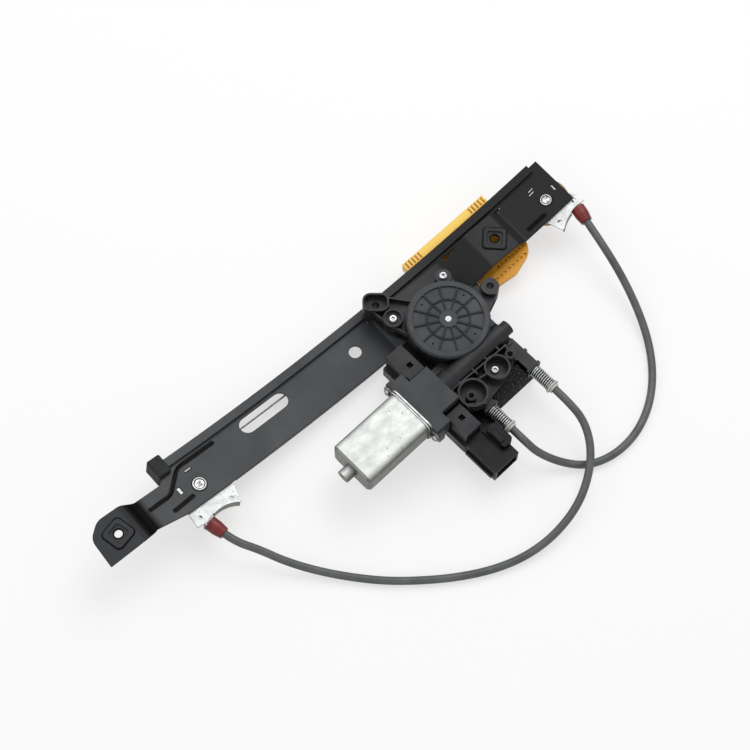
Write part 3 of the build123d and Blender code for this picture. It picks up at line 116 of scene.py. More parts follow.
def gridFaces(rows, cols, wrapRows=False, wrapCols=True):
    # quads of a grid of points: each point with its next in row and column, wrapped where asked
    r = np.arange(rows if wrapRows else rows - 1)
    c = np.arange(cols if wrapCols else cols - 1)
    rr, cc = np.meshgrid(r, c, indexing="ij")
    nextR, nextC = (rr + 1) % rows, (cc + 1) % cols
    quads = [rr * cols + cc, nextR * cols + cc, nextR * cols + nextC, rr * cols + nextC]
    return np.stack(quads, axis=-1).reshape(-1, 4).tolist()


def turnedPoints(profile, origin, axis, count):
    # (radius, distance) pairs: origin, plus distance along the axis, plus radius times a circle
    # round it
    axis = np.asarray(axis, float) / np.linalg.norm(axis)
    helper = np.array([0, 0, 1.0]) if abs(axis[2]) < 0.9 else np.array([1.0, 0, 0])
    first = np.cross(helper, axis)
    first /= np.linalg.norm(first)
    second = np.cross(axis, first)
    angle = np.linspace(0, 2 * np.pi, count, endpoint=False)
    profile = np.asarray(profile, float)
    ring = np.cos(angle)[:, None] * first + np.sin(angle)[:, None] * second
    return (np.asarray(origin) + profile[:, 1][:, None, None] * axis
            + profile[:, 0][:, None, None] * ring[None]) / 1000


def turned(name, profile, origin, axis, material, body, count=fineness["aroundSteps"], closed=False,
           **rest):
    # a turned piece, mm; an open profile gets a flat cap at either end
    points = turnedPoints(profile, origin, axis, count)
    rows = len(profile)
    faces = gridFaces(rows, count, wrapRows=closed)
    if not closed:
        faces.append(list(range(count)))
        faces.append(list(range((rows - 1) * count, rows * count))[::-1])
    return meshPiece(name, points, faces, material, body, **rest)


def band(inner, outer, low, high):
    # profile of a flat ring: its four corners
    return [(inner, low), (inner, high), (outer, high), (outer, low)]


def rounded(profile, radius, steps):
    # each inner corner of a profile becomes a quadratic curve between a point on either side of it,
    # as far off as the radius, and 0.45 of a short side at most
    profile = np.asarray(profile, float)
    t = np.linspace(0, 1, steps + 1)[:, None]
    out = [profile[:1]]
    for before, corner, after in zip(profile, profile[1:], profile[2:]):
        a, b = before - corner, after - corner
        la, lb = np.linalg.norm(a), np.linalg.norm(b)
        reach = min(radius, 0.45 * la, 0.45 * lb)
        p, q = corner + a / la * reach, corner + b / lb * reach
        out.append((1 - t) ** 2 * p + 2 * t * (1 - t) * corner + t ** 2 * q)
    out.append(profile[-1:])
    return np.concatenate(out)


def roundedLoop(outline, radius, steps):
    # the same for a closed outline, whose first point stays as it is
    return rounded([*outline, outline[0]], radius, steps)[:-1]


def slab(name, outline, low, high, rim, toWorld, material, body, **rest):
    # a plate from a closed outline, mm: its wall ends in thin rims, and inside them each face
    # sinks by the rim's size along a quarter circle, towards the middle of the outline
    outline = np.asarray(outline, float)
    middle = outline.mean(axis=0)
    span = np.linalg.norm(outline - middle, axis=1)[:, None]
    inset = 1 - np.sin(np.linspace(0, 1, fineness["rimRings"]) * np.pi / 2)
    sink = rim * (1 - np.sqrt(1 - inset ** 2))
    level = np.concatenate([low + sink, high - sink[::-1]])
    inset = rim * np.concatenate([inset, inset[::-1]])
    spot = middle + (outline - middle) * (1 - inset[:, None, None] / span)
    rows, count = len(level), len(outline)
    faces = gridFaces(rows, count)
    faces += [list(range(count))[::-1], list(range((rows - 1) * count, rows * count))]
    return meshPiece(name, toWorld(spot[..., 0], spot[..., 1], level[:, None]), faces, material,
                     body, sharp=fineness["slabSharp"], **rest)


def roundBox(centre, width, height, corner, turn=0, steps=fineness["cornerSteps"]):
    # outline of a rectangle with a quarter circle at each corner, turned by degrees
    out = []
    for sx, sy, begin in [(1, 1, 0), (-1, 1, 90), (-1, -1, 180), (1, -1, 270)]:
        a = np.radians(begin + np.linspace(0, 90, steps + 1))
        out.append(np.stack([sx * (width / 2 - corner) + corner * np.cos(a),
                             sy * (height / 2 - corner) + corner * np.sin(a)], axis=1))
    out = np.concatenate(out)
    c, s = math.cos(math.radians(turn)), math.sin(math.radians(turn))
    return np.stack([centre[0] + out[:, 0] * c - out[:, 1] * s,
                     centre[1] + out[:, 0] * s + out[:, 1] * c], axis=1)


# materials
finishLimits = {
    "patches": (0.35, 0.65),     # noise from which and up to which the dark colour turns light
    "roughPatches": (0.3, 0.7),  # the same for the gloss
    "roughRatio": 2.3,           # size of the colour's patches to those of the gloss
    "open": (0.85, 0.35),        # open share over a point, where the painted corner shade begins and is full
    "speckFade": 0.04,           # noise over which a speck fades in
    "edge": (0.995, 0.80),       # face normal times rounded normal, where the painted edge tone begins and is full
}


def tone(hexText):
    # screen colour to linear light: a 12.92th of the darkest, a power of 2.4 of all others
    values = [int(hexText[i:i + 2], 16) / 255 for i in (1, 3, 5)]
    return [v / 12.92 if v <= 0.04045 else ((v + 0.055) / 1.055) ** 2.4 for v in values] + [1]


def finish(name, settings):
    # one node set for every finish: patchy colour, zones, painted shade on the sides, painted shade
    # in corners, specks, painted highlight and shade on edges, uneven gloss, soft edges and fine
    # relief
    material = bpy.data.materials.new(name)
    material.use_nodes = True
    tree = material.node_tree
    shader = tree.nodes["Principled BSDF"]
    coords = tree.nodes.new("ShaderNodeTexCoord").outputs["Object"]

    def noise(scale, detail=3, stretch=None):
        # noise of the object's place, stretched by (x, y, z) and turned by degrees about z
        vector = coords
        if stretch:
            mapping = tree.nodes.new("ShaderNodeMapping")
            mapping.inputs["Scale"].default_value = stretch[:3]
            mapping.inputs["Rotation"].default_value = (0, 0, math.radians(stretch[3]))
            tree.links.new(coords, mapping.inputs["Vector"])
            vector = mapping.outputs["Vector"]
        node = tree.nodes.new("ShaderNodeTexNoise")
        node.inputs["Scale"].default_value = scale
        node.inputs["Detail"].default_value = detail
        tree.links.new(vector, node.inputs["Vector"])
        return node.outputs["Fac"]

    def between(value, low, high, outLow, outHigh):
        # the value's share of the way from low to high, laid on the way from outLow to outHigh
        node = tree.nodes.new("ShaderNodeMapRange")
        node.inputs["From Min"].default_value = low
        node.inputs["From Max"].default_value = high
        node.inputs["To Min"].default_value = outLow
        node.inputs["To Max"].default_value = outHigh
        tree.links.new(value, node.inputs["Value"])
        return node.outputs["Result"]

    def blend(value, first, second, kind):
        # the first times 1 minus the value, plus the second times the value
        node = tree.nodes.new("ShaderNodeMix")
        node.data_type = kind
        a, b, result = (6, 7, 2) if kind == "RGBA" else (2, 3, 0)
        for socket, content in ((node.inputs[a], first), (node.inputs[b], second)):
            if isinstance(content, bpy.types.NodeSocket):
                tree.links.new(content, socket)
            else:
                socket.default_value = content
        tree.links.new(value, node.inputs[0])
        return node.outputs[result]

    def over(value, colour, hexText):
        # a screen colour laid over the colour so far
        return blend(value, colour, tone(hexText), "RGBA")

    stretch = settings.get("stretch")
    patches = between(noise(settings["patchScale"], 4, stretch), *finishLimits["patches"], 0, 1)
    colour = over(patches, tone(settings["dark"]), settings["light"])
    specular = settings.get("specular", 0.5)
    gloss = None
    for axis, low, high, amount, zoneTone, *zoneGloss in settings.get("zones", []):
        # fades in from low to high along one axis, mm
        split = tree.nodes.new("ShaderNodeSeparateXYZ")
        tree.links.new(coords, split.inputs[0])
        share = between(split.outputs["XYZ".index(axis)], low / 1000, high / 1000, 0, amount)
        colour = over(share, colour, zoneTone)
        if zoneGloss:
            gloss = blend(share, specular if gloss is None else gloss, zoneGloss[0], "FLOAT")
    if settings.get("flankShade"):
        # painted shade: the piece's own normal tells its sides from its top; the sides turn darker
        low, high, amount, flankShadeTone = settings["flankShade"]
        facing = tree.nodes.new("ShaderNodeSeparateXYZ")
        tree.links.new(tree.nodes.new("ShaderNodeTexCoord").outputs["Normal"], facing.inputs[0])
        colour = over(between(facing.outputs["Z"], high, low, 0, amount), colour, flankShadeTone)
    if settings.get("cornerShade"):
        # painted shade: corners that light hardly reaches turn darker
        reach, amount, cornerShadeTone = settings["cornerShade"]
        occlusion = tree.nodes.new("ShaderNodeAmbientOcclusion")
        occlusion.samples = 6
        occlusion.inputs["Distance"].default_value = reach
        colour = over(between(occlusion.outputs["AO"], *finishLimits["open"], 0, amount), colour,
                      cornerShadeTone)
    if settings.get("specks"):
        scale, cut, speckTone = settings["specks"]
        spots = between(noise(scale, 2), cut, cut + finishLimits["speckFade"], 0, 1)
        colour = over(spots, colour, speckTone)
    if settings.get("edgeLightShade"):
        # painted edge tone: the rounded normal leaves the face's own near an edge; there the colour
        # turns lighter on the mouldings and the carrier, a painted highlight, and darker on the
        # rail, painted shade
        amount, edgeLightShadeTone, width = settings["edgeLightShade"]
        bevel = tree.nodes.new("ShaderNodeBevel")
        bevel.samples = 4
        bevel.inputs["Radius"].default_value = width
        geometry = tree.nodes.new("ShaderNodeNewGeometry")
        dot = tree.nodes.new("ShaderNodeVectorMath")
        dot.operation = "DOT_PRODUCT"
        tree.links.new(bevel.outputs["Normal"], dot.inputs[0])
        tree.links.new(geometry.outputs["Normal"], dot.inputs[1])
        colour = over(between(dot.outputs["Value"], *finishLimits["edge"], 0, amount), colour,
                      edgeLightShadeTone)
    tree.links.new(colour, shader.inputs["Base Color"])
    glossPatches = noise(settings["patchScale"] * finishLimits["roughRatio"], 5, stretch)
    tree.links.new(between(glossPatches, *finishLimits["roughPatches"], *settings["rough"]),
                   shader.inputs["Roughness"])
    shader.inputs["Metallic"].default_value = settings.get("metallic", 0)
    shader.inputs["Specular IOR Level"].default_value = specular
    if gloss is not None:
        tree.links.new(gloss, shader.inputs["Specular IOR Level"])
    normal = None
    if settings.get("bevel"):
        soft = tree.nodes.new("ShaderNodeBevel")
        soft.samples = 6
        soft.inputs["Radius"].default_value = settings["bevel"]
        normal = soft.outputs["Normal"]
    for scale, depth, strength in settings["relief"]:
        bump = tree.nodes.new("ShaderNodeBump")
        bump.inputs["Strength"].default_value = strength
        bump.inputs["Distance"].default_value = depth
        tree.links.new(noise(scale, 3), bump.inputs["Height"])
        if normal:
            tree.links.new(normal, bump.inputs["Normal"])
        normal = bump.outputs["Normal"]
    if normal:
        tree.links.new(normal, shader.inputs["Normal"])
    return material


# scales per metre; rough from and to; relief (scale, depth in m, strength); bevel in m;
# zones (axis, from mm, to mm, amount, colour, gloss); painted shade in corners (reach in m, amount,
# colour); painted highlight and shade on edges (amount, colour, width in m); specks (scale, cut,
# colour); painted shade on the sides (normal's height of a flank, of the top, amount, colour)
finishes = {
    # the rail coat's zones are painted shade: darker from x 20 to 140 towards the upper end, near
    # black on the foot's joggle, then nearly the coat's own tone again on the foot; each zone also
    # sets the gloss
    "railCoat": {"dark": "#2b2d30", "light": "#35373a", "patchScale": 12, "rough": (0.36, 0.52),
                 "specular": 0.3, "relief": [(900, 0.00004, 0.25), (60, 0.0003, 0.10)],
                 "bevel": 0.0012, "zones": [("X", 20, 140, 1.0, "#0f1012", 0.2),
                                            ("X", -205, -211, 1.0, "#040404", 0.04),
                                            ("X", -219, -228, 1.0, "#26282b", 0.3)],
                 "cornerShade": (0.0035, 0.9, "#060607"), "edgeLightShade": (0.45, "#17181a", 0.0008),
                 "specks": (380, 0.76, "#4c4e52")},
    "moulding": {"dark": "#17181a", "light": "#212225", "patchScale": 28, "rough": (0.38, 0.56),
                 "specular": 0.3, "relief": [(1800, 0.00004, 0.3)], "bevel": 0.0005,
                 "cornerShade": (0.006, 0.95, "#030303"), "edgeLightShade": (0.75, "#5d6066", 0.00045)},
    "socketMoulding": {"dark": "#0b0c0d", "light": "#121315", "patchScale": 28,
                       "rough": (0.36, 0.52), "specular": 0.16, "relief": [(1800, 0.00004, 0.3)],
                       "bevel": 0.0005, "cornerShade": (0.006, 0.95, "#030303"),
                       "edgeLightShade": (0.5, "#3c3e42", 0.0004)},
    # a lighter copy of the moulding for the cover and the brush housing: painted light on their
    # tops
    "litMoulding": {"dark": "#2a2c2f", "light": "#36383c", "patchScale": 30,
                      "rough": (0.42, 0.56), "specular": 0.32, "relief": [(1500, 0.00005, 0.3)],
                      "bevel": 0.0004, "cornerShade": (0.0022, 0.95, "#050506"),
                      "edgeLightShade": (0.3, "#5c5f64", 0.0003)},
    # near black: painted shade laid in the rail's beads and round the pressed squares and their
    # holes
    "creaseShade": {"dark": "#020202", "light": "#050505", "patchScale": 90, "rough": (0.3, 0.42),
                  "specular": 0.07, "relief": [(900, 0.00004, 0.2)]},
    "shade": {"dark": "#030303", "light": "#060606", "patchScale": 200, "rough": (0.8, 0.95),
              "specular": 0.1, "relief": [(900, 0.00004, 0.2)]},
    # near black: painted shade on the tops of the cover's ribs
    "ribShade": {"dark": "#0c0d0e", "light": "#141517", "patchScale": 120, "rough": (0.5, 0.65),
                 "specular": 0.25, "relief": [(1500, 0.00004, 0.3)]},
    "zincPlate": {"dark": "#c6c9c8", "light": "#e6eae9", "patchScale": 90, "rough": (0.42, 0.6),
                  "metallic": 0.25, "relief": [(1200, 0.00003, 0.3)], "bevel": 0.0003,
                  "specks": (620, 0.64, "#8e908e"), "flankShade": (0.35, 0.75, 0.9, "#6b675c"),
                  "cornerShade": (0.003, 0.6, "#4b4943")},
    "galvanised": {"dark": "#bbbebb", "light": "#d2d5d1", "patchScale": 80, "rough": (0.34, 0.55),
                   "metallic": 0.4, "stretch": (1, 1.7, 1, 2.6),
                   "relief": [(500, 0.00004, 0.3), (60, 0.0003, 0.12)],
                   "specks": (260, 0.70, "#8d908d"), "flankShade": (0.6, 0.98, 0.9, "#5b5c57"),
                   "cornerShade": (0.004, 0.6, "#2e2e2b")},
    "brightSteel": {"dark": "#8b8d8f", "light": "#b9bbbd", "patchScale": 160, "rough": (0.24, 0.42),
                    "metallic": 0.8, "relief": [(1500, 0.00002, 0.2)], "bevel": 0.0003,
                    "cornerShade": (0.0016, 0.9, "#1a1b1c")},
    "rivetSteel": {"dark": "#6d6e6d", "light": "#dfe0de", "patchScale": 380, "rough": (0.24, 0.4),
                   "metallic": 0.7, "relief": [(1500, 0.00003, 0.3), (300, 0.0002, 0.5)],
                   "cornerShade": (0.0012, 0.95, "#0b0b0b")},
    "springSteel": {"dark": "#8d8f90", "light": "#c9cbcc", "patchScale": 160, "rough": (0.22, 0.38),
                    "metallic": 0.85, "relief": [(2500, 0.00002, 0.2)],
                    "cornerShade": (0.002, 0.8, "#1c1d1e")},
    "cableSteel": {"dark": "#4c4d4e", "light": "#8a8b8c", "patchScale": 900, "rough": (0.35, 0.5),
                   "metallic": 0.8, "relief": [(3500, 0.0001, 0.5)]},
    # the yellow's zones: darker towards low y, and lighter towards high y, a painted highlight
    # along the strip's upper edge
    "yellowPlastic": {"dark": "#e8a41c", "light": "#f4b93a", "patchScale": 24, "rough": (0.34, 0.5),
                      "specular": 0.4, "relief": [(1200, 0.00004, 0.25)], "bevel": 0.0005,
                      "zones": [("Y", 60, 54, 0.4, "#cd8616"), ("Y", 88, 98, 0.75, "#f3d670")],
                      "cornerShade": (0.0025, 0.75, "#b97413"), "edgeLightShade": (0.35, "#ffdc86", 0.0005)},
    "redPlastic": {"dark": "#5c1010", "light": "#781f1a", "patchScale": 70, "rough": (0.34, 0.48),
                   "specular": 0.4, "relief": [(1400, 0.00004, 0.25)],
                   "cornerShade": (0.003, 0.7, "#35090a")},
    "sheath": {"dark": "#474a49", "light": "#575a59", "patchScale": 60, "rough": (0.34, 0.46),
               "specular": 0.45, "relief": [(900, 0.00005, 0.25)]},
    "paleNylon": {"dark": "#b3b5ae", "light": "#cdcfc8", "patchScale": 70, "rough": (0.42, 0.55),
                  "relief": [(1200, 0.00004, 0.25)], "bevel": 0.0003,
                  "cornerShade": (0.002, 0.6, "#5a5b57")},
    "tanNylon": {"dark": "#9c8660", "light": "#b39d77", "patchScale": 60, "rough": (0.4, 0.55),
                 "relief": [(1200, 0.00004, 0.25)], "bevel": 0.0004,
                 "cornerShade": (0.002, 0.6, "#4f4127")},
    "rubber": {"dark": "#191a1b", "light": "#242627", "patchScale": 80, "rough": (0.55, 0.75),
               "specular": 0.25, "relief": [(1400, 0.00008, 0.35)], "bevel": 0.0008,
               "cornerShade": (0.004, 0.7, "#070708")},
    "foam": {"dark": "#121213", "light": "#2a2b2b", "patchScale": 420, "rough": (0.85, 0.98),
             "specular": 0.15, "relief": [(900, 0.0006, 0.8), (260, 0.001, 0.5)],
             "specks": (700, 0.58, "#4a4b4b"), "cornerShade": (0.004, 0.7, "#050505")},
    "copper": {"dark": "#8a4a2b", "light": "#b8693d", "patchScale": 200, "rough": (0.25, 0.4),
               "metallic": 0.9, "relief": [(2400, 0.00005, 0.3)]},
    "bronze": {"dark": "#84663c", "light": "#a38250", "patchScale": 300, "rough": (0.4, 0.55),
               "metallic": 0.8, "relief": [(2400, 0.00005, 0.3)]},
    "graphite": {"dark": "#2b2c2d", "light": "#3b3c3d", "patchScale": 300, "rough": (0.4, 0.6),
                 "metallic": 0.3, "relief": [(2400, 0.00005, 0.3)]},
    "boardGreen": {"dark": "#123d22", "light": "#1c5230", "patchScale": 120, "rough": (0.35, 0.5),
                   "relief": [(1500, 0.00004, 0.2)]},
}
paint = {name: finish(name, settings) for name, settings in finishes.items()}
nodeFinish = {
    "railCoat": ["rail"],
    "rubber": ["end_stop"],
    "zincPlate": ["lower_deflector_plate", "upper_deflector_plate"],
    "brightSteel": ["lower_pulley_rivet", "upper_pulley_rivet", "drum_pin", "housing_screws",
                    "motor_screws", "socket_pins", "armature_shaft", "worm", "clamp_screw",
                    "clamp_nut", "cable_nipples"],
    "redPlastic": ["lower_ferrule", "upper_ferrule"],
    "cableSteel": ["rail_cable", "drum_cables", "drum_windings"],
    "sheath": ["lower_conduit", "upper_conduit"],
    "moulding": ["drum_housing", "gear_housing", "control_housing"],
    "litMoulding": ["gear_cover", "brush_housing"],
    "socketMoulding": ["plug_socket"],
    "galvanised": ["motor_can"],
    "graphite": ["brushes", "motor_magnets", "lamination_stack"],
    "bronze": ["shaft_bushes"],
    "boardGreen": ["control_board"],
    "foam": ["foam_pad"],
    "springSteel": ["lower_conduit_spring", "upper_conduit_spring"],
    "paleNylon": ["lower_conduit_cap", "upper_conduit_cap", "cable_drum"],
    "tanNylon": ["lower_pulley", "upper_pulley", "worm_wheel"],
    "copper": ["armature_windings", "commutator"],
    "yellowPlastic": ["carrier", "glass_clamp"],
}
for name, wearers in nodeFinish.items():
    for node in wearers:
        for slot in nodes[node].material_slots:
            slot.material = paint[name]
print("finishes made:", len(paint))


# conduits: radius and length in m, points of the route in mm
conduit = {
    "radius": 0.0035,
    "upper": [(250.84, 18.83, 30.57), (247.66, 2.14, 29.89), (242.9, -29.5, 22), (235.5, -60.7, 12),
              (222.3, -92.2, 5), (202.7, -118.3, 3.7), (179.1, -137.2, 3.7), (152.6, -148, 3.7),
              (125.4, -149.5, 3.7), (101.1, -141.4, 4.2), (85, -125, 8), (73, -107, 18),
              (69.69, -94.06, 26.4), (69.013, -79.073, 26.4)],
    "lower": [(-171.54, 11.61, 25.17), (-168.92, -0.09, 24.68), (-158, -16, 18.5),
              (-147, -37, 11.5), (-130.6, -60.9, 6), (-109.3, -87, 3.8), (-86.2, -110.9, 3.7),
              (-46.6, -141.4, 3.7), (-8.1, -160.9, 4.2), (28, -168, 7), (64, -164, 12),
              (91, -151, 16.5), (111, -133, 19), (121.5, -112, 22.5), (121.59, -90.7, 26.4),
              (120.959, -76.714, 26.4)],
    "length": {"upper": 0.3384, "lower": 0.4348},
}


def sheathCurve(name, points, node):
    # a quadratic spline led by the route's points, with a circle of the radius carried along it
    curve = bpy.data.curves.new(name, "CURVE")
    curve.dimensions = "3D"
    spline = curve.splines.new("NURBS")
    spline.points.add(len(points) - 1)
    values = np.concatenate([np.asarray(points, float) / 1000, np.ones((len(points), 1))], axis=1)
    spline.points.foreach_set("co", values.ravel())
    spline.order_u = 3
    spline.use_endpoint_u = True
    spline.resolution_u = 12
    curve.bevel_depth = conduit["radius"]
    curve.bevel_resolution = 6
    curve.use_fill_caps = True
    curve.materials.append(paint["sheath"])
    piece = bpy.data.objects.new(name, curve)
    bpy.context.scene.collection.objects.link(piece)
    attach(piece, "frame")
    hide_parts(node)
    return piece


for side in ("upper", "lower"):
    sheathCurve(side + "Sheath", conduit[side], side + "_conduit")
print("conduits laid")


# pressed beads of the rail, mm: glossy hollows in their grooves, near black, painted shade
beads = {
    "halfWidth": 2.4,
    "depth": 0.95,
    "lip": 0.1,
    "fullness": 0.7,         # power of the cosine across: the lower, the flatter the bottom
    "bendRadius": 14,
    "bendSteps": 8,
    "rows": 90,              # along the bead, without its ends
    "endRows": 8,
    "endLeast": 0.02,        # share of the width that is left at the very end
    "cols": 15,
    "paths": {"mainBead": [(-128.6, 80), (-166, 80), (-185, 63.5), (-206, 63)],
              "lowerBead": [(-191, 50.3), (-171, 51.7)],
              "upperBead": [(207.5, 47.6), (226.5, 47.6)]},
}


def evenly(points, count):
    # points at equal distances along a path
    points = np.asarray(points, float)
    run = np.concatenate([[0], np.cumsum(np.linalg.norm(np.diff(points, axis=0), axis=1))])
    goal = np.linspace(0, run[-1], count)
    return np.stack([np.interp(goal, run, points[:, k]) for k in range(points.shape[1])], axis=1)


def hollow(name, path):
    # a ribbon across the path, its depth a power of the cosine from lip to lip; past both ends
    # width and depth shrink as a circle's chord
    halfWidth, lip, ends = beads["halfWidth"], beads["lip"], beads["endRows"]
    path = evenly(rounded(path, beads["bendRadius"], beads["bendSteps"]), beads["rows"])
    heading = np.gradient(path, axis=0)
    heading /= np.linalg.norm(heading, axis=1)[:, None]
    past = np.sin(np.linspace(0, 1, ends + 1)[1:] * np.pi / 2)
    chord = np.sqrt(np.maximum(1 - past ** 2, beads["endLeast"] ** 2))
    before = path[0] - heading[0] * past[::-1, None] * halfWidth
    after = path[-1] + heading[-1] * past[:, None] * halfWidth
    centre = np.concatenate([before, path, after])
    heading = np.concatenate([np.repeat(heading[:1], ends, 0), heading,
                              np.repeat(heading[-1:], ends, 0)])
    scale = np.concatenate([chord[::-1], np.ones(len(path)), chord])[:, None]
    side = np.stack([-heading[:, 1], heading[:, 0]], axis=1)
    across = np.linspace(-1, 1, beads["cols"])
    spot = centre[:, None] + side[:, None] * (across * halfWidth * scale)[..., None]
    level = lip - (lip + beads["depth"]) * scale * np.cos(across * np.pi / 2) ** beads["fullness"]
    faces = gridFaces(len(centre), len(across), wrapCols=False)
    # the near-black colour is painted shade in the bead's groove
    return meshPiece(name, railPoint(spot[..., 0], spot[..., 1], level), faces, paint["creaseShade"],
                     "frame", slot="coated_steel")


for name, path in beads["paths"].items():
    hollow(name, path)
print("beads laid")


# hollow rivets of the pulleys, mm: rolled rim, a painted shadow ring round it, dished middle
rivets = {
    "lower": {"x": -160.3, "outer": 6.1, "inner": 4.75},
    "upper": {"x": 236.8, "outer": 5.2, "inner": 4.0},
    "y": 57.0,
    "steps": 56,
    "rimHeight": 1.1,
    "rimRound": 0.3,
    "shadowWidth": 0.75,
    "shadowLevels": (0.03, 0.06),
    "dish": [(1.0, 0.0), (0.96, 0.35), (0.84, 0.55), (0.6, 0.3), (0.3, 0.15), (0.004, 0.1)],
    "dishFoot": -0.2,
    "under": [(0.02, -11.3), (7.0, -11.3), (7.6, -11.1), (7.9, -10.7), (7.9, -9.85), (4.6, -9.82)],
}
for name in ("lower", "upper"):
    rivet, top, edge = rivets[name], rivets["rimHeight"], rivets["rimRound"]
    inner, outer = rivet["inner"], rivet["outer"]
    base, axis = railPoint(rivet["x"], rivets["y"], 0) * 1000, webNormal(rivet["x"])
    dish = [(r * (inner - edge), h) for r, h in rivets["dish"]]
    turned(name + "RolledRivet", rivets["under"] + [(dish[0][0], rivets["dishFoot"])] + dish, base,
           axis, paint["rivetSteel"], "frame", count=rivets["steps"], node=name + "_pulley_rivet",
           slot="bright_steel")
    rim = [(inner, 0.0), (inner + 0.05, top - edge), (inner + edge, top), (outer - 0.4, top),
           (outer - 0.08, top - edge), (outer, 0.0)]
    turned(name + "RivetRim", rim, base, axis, paint["zincPlate"], "frame", count=rivets["steps"],
           closed=True, slot="bright_steel")
    shadow = band(outer, outer + rivets["shadowWidth"], *rivets["shadowLevels"])
    turned(name + "RivetShadow", shadow, base, axis, paint["shade"], "frame", count=rivets["steps"],
           closed=True, slot="coated_steel")
print("rivets turned")


# sprung outlets, mm: round-wire springs round a black sleeve, thin caps
outlets = {
    "turnRadius": 26.0,      # from the drum axis to an outlet's axis
    "endV": -79.0,           # end of the housing, where the spring begins
    "z": 26.4,
    "wire": 0.66,            # radius of the wire
    "meanRadius": 5.08,
    "springLength": 20.1,
    "turns": 9.6,
    "closeTurns": 0.9,       # turns at either end that lie closer
    "closeRise": 0.35,       # their rise to that of the others, at the very end
    "turnSteps": 30,
    "wireSides": 10,
    "sleeve": [(0.9, 1.2), (4.1, 1.2), (4.15, 0.4), (4.15, -19.3), (0.9, -19.3)],
    "sleeveSteps": 32,
    "cap": [(0.9, -20.3), (6.3, -20.3), (6.75, -20.6), (6.75, -21.7), (6.3, -22.0), (5.0, -22.05),
            (4.9, -22.4), (4.9, -23.9), (4.5, -24.28), (3.6, -24.28)],
    "capSharp": 40,
}


def outletPoint(side, across, along, up):
    # an outlet's own axes to metres: side is 1 or -1, across and up from its axis, along it
    return unitPoint(side * outlets["turnRadius"] + across, outlets["endV"] + along,
                     outlets["z"] + up)


def coil(name, side, node):
    # a helix of round wire: mean radius plus the wire's circle, its rise a running sum of steps
    # that grow over the first turn and shrink over the last
    turns, wire, close = outlets["turns"], outlets["wire"], outlets["closeTurns"]
    swept = np.linspace(0, 1, int(turns * outlets["turnSteps"])) * turns
    lead = np.clip(swept / close, 0, 1) - np.clip((swept - turns + close) / close, 0, 1)
    rise = np.cumsum(outlets["closeRise"] + (1 - outlets["closeRise"]) * lead)
    rise = (rise - rise[0]) / (rise[-1] - rise[0])
    angle = (swept * 2 * np.pi)[:, None]
    along = -wire - rise * (outlets["springLength"] - 2 * wire)
    sides = outlets["wireSides"]
    ring = np.linspace(0, 2 * np.pi, sides, endpoint=False)
    radius = outlets["meanRadius"] + wire * np.cos(ring)
    points = outletPoint(side, radius * np.cos(angle), along[:, None] + wire * np.sin(ring),
                         radius * np.sin(angle))
    rows = len(swept)
    faces = gridFaces(rows, sides)
    faces += [list(range(sides)), list(range((rows - 1) * sides, rows * sides))[::-1]]
    return meshPiece(name, points, faces, paint["springSteel"], "frame", node=node,
                     slot="bright_steel")


outletAxis = unitPoint(0, 1, 0) - unitPoint(0, 0, 0)
for side, name in ((1, "lower"), (-1, "upper")):
    base = outletPoint(side, 0, 0, 0) * 1000
    coil(name + "Coil", side, name + "_conduit_spring")
    turned(name + "Sleeve", outlets["sleeve"], base, outletAxis, paint["moulding"], "frame",
           count=outlets["sleeveSteps"], closed=True, slot="black_plastic")
    turned(name + "Cap", outlets["cap"], base, outletAxis, paint["paleNylon"], "frame", closed=True,
           node=name + "_conduit_cap", slot="pale_plastic", sharp=outlets["capSharp"])
print("outlets sprung")


# painted shade round the pressed squares of foot and pad, and round their holes, mm
grooves = {
    "squares": {"footSquare": {"centre": (-239.2, 61.6), "turn": 12, "corner": 4, "level": 49.0},
                "padSquare": {"centre": (177.8, 60.0), "turn": 45, "corner": 3, "level": 32.0}},
    "side": 20.2,
    "width": 1.3,
    "lift": 0.05,
    "cols": 5,
    "holeRimShade": (3.5, 4.7, 0.02, 0.06),      # inner and outer radius, low and high
}


def squareGrooveShade(name, square):
    # a closed near-black ribbon of painted shade round a pressed square, outwards from its middle,
    # as high as 1 plus the cosine of a full turn across its width
    outer = roundBox(square["centre"], grooves["side"], grooves["side"], square["corner"],
                     square["turn"])
    middle = np.asarray(square["centre"])
    span = np.linalg.norm(outer - middle, axis=1)[:, None]
    across = np.linspace(0, 1, grooves["cols"])
    spot = middle + (outer - middle) * (1 + across[:, None, None] * grooves["width"] / span)
    level = square["level"] + grooves["lift"] * (1 + np.cos(across * np.pi * 2))[:, None]
    return meshPiece(name, flatPoint(spot[..., 0], spot[..., 1], level),
                     gridFaces(len(across), len(outer)), paint["creaseShade"], "frame",
                     slot="coated_steel")


for name, square in grooves["squares"].items():
    squareGrooveShade(name, square)
    # a flat near-black ring of painted shade round the square's hole
    turned(name + "HoleRimShade", band(*grooves["holeRimShade"]), (*square["centre"], square["level"]),
           (0, 0, 1), paint["creaseShade"], "frame", closed=True, slot="coated_steel")
print("grooves laid")


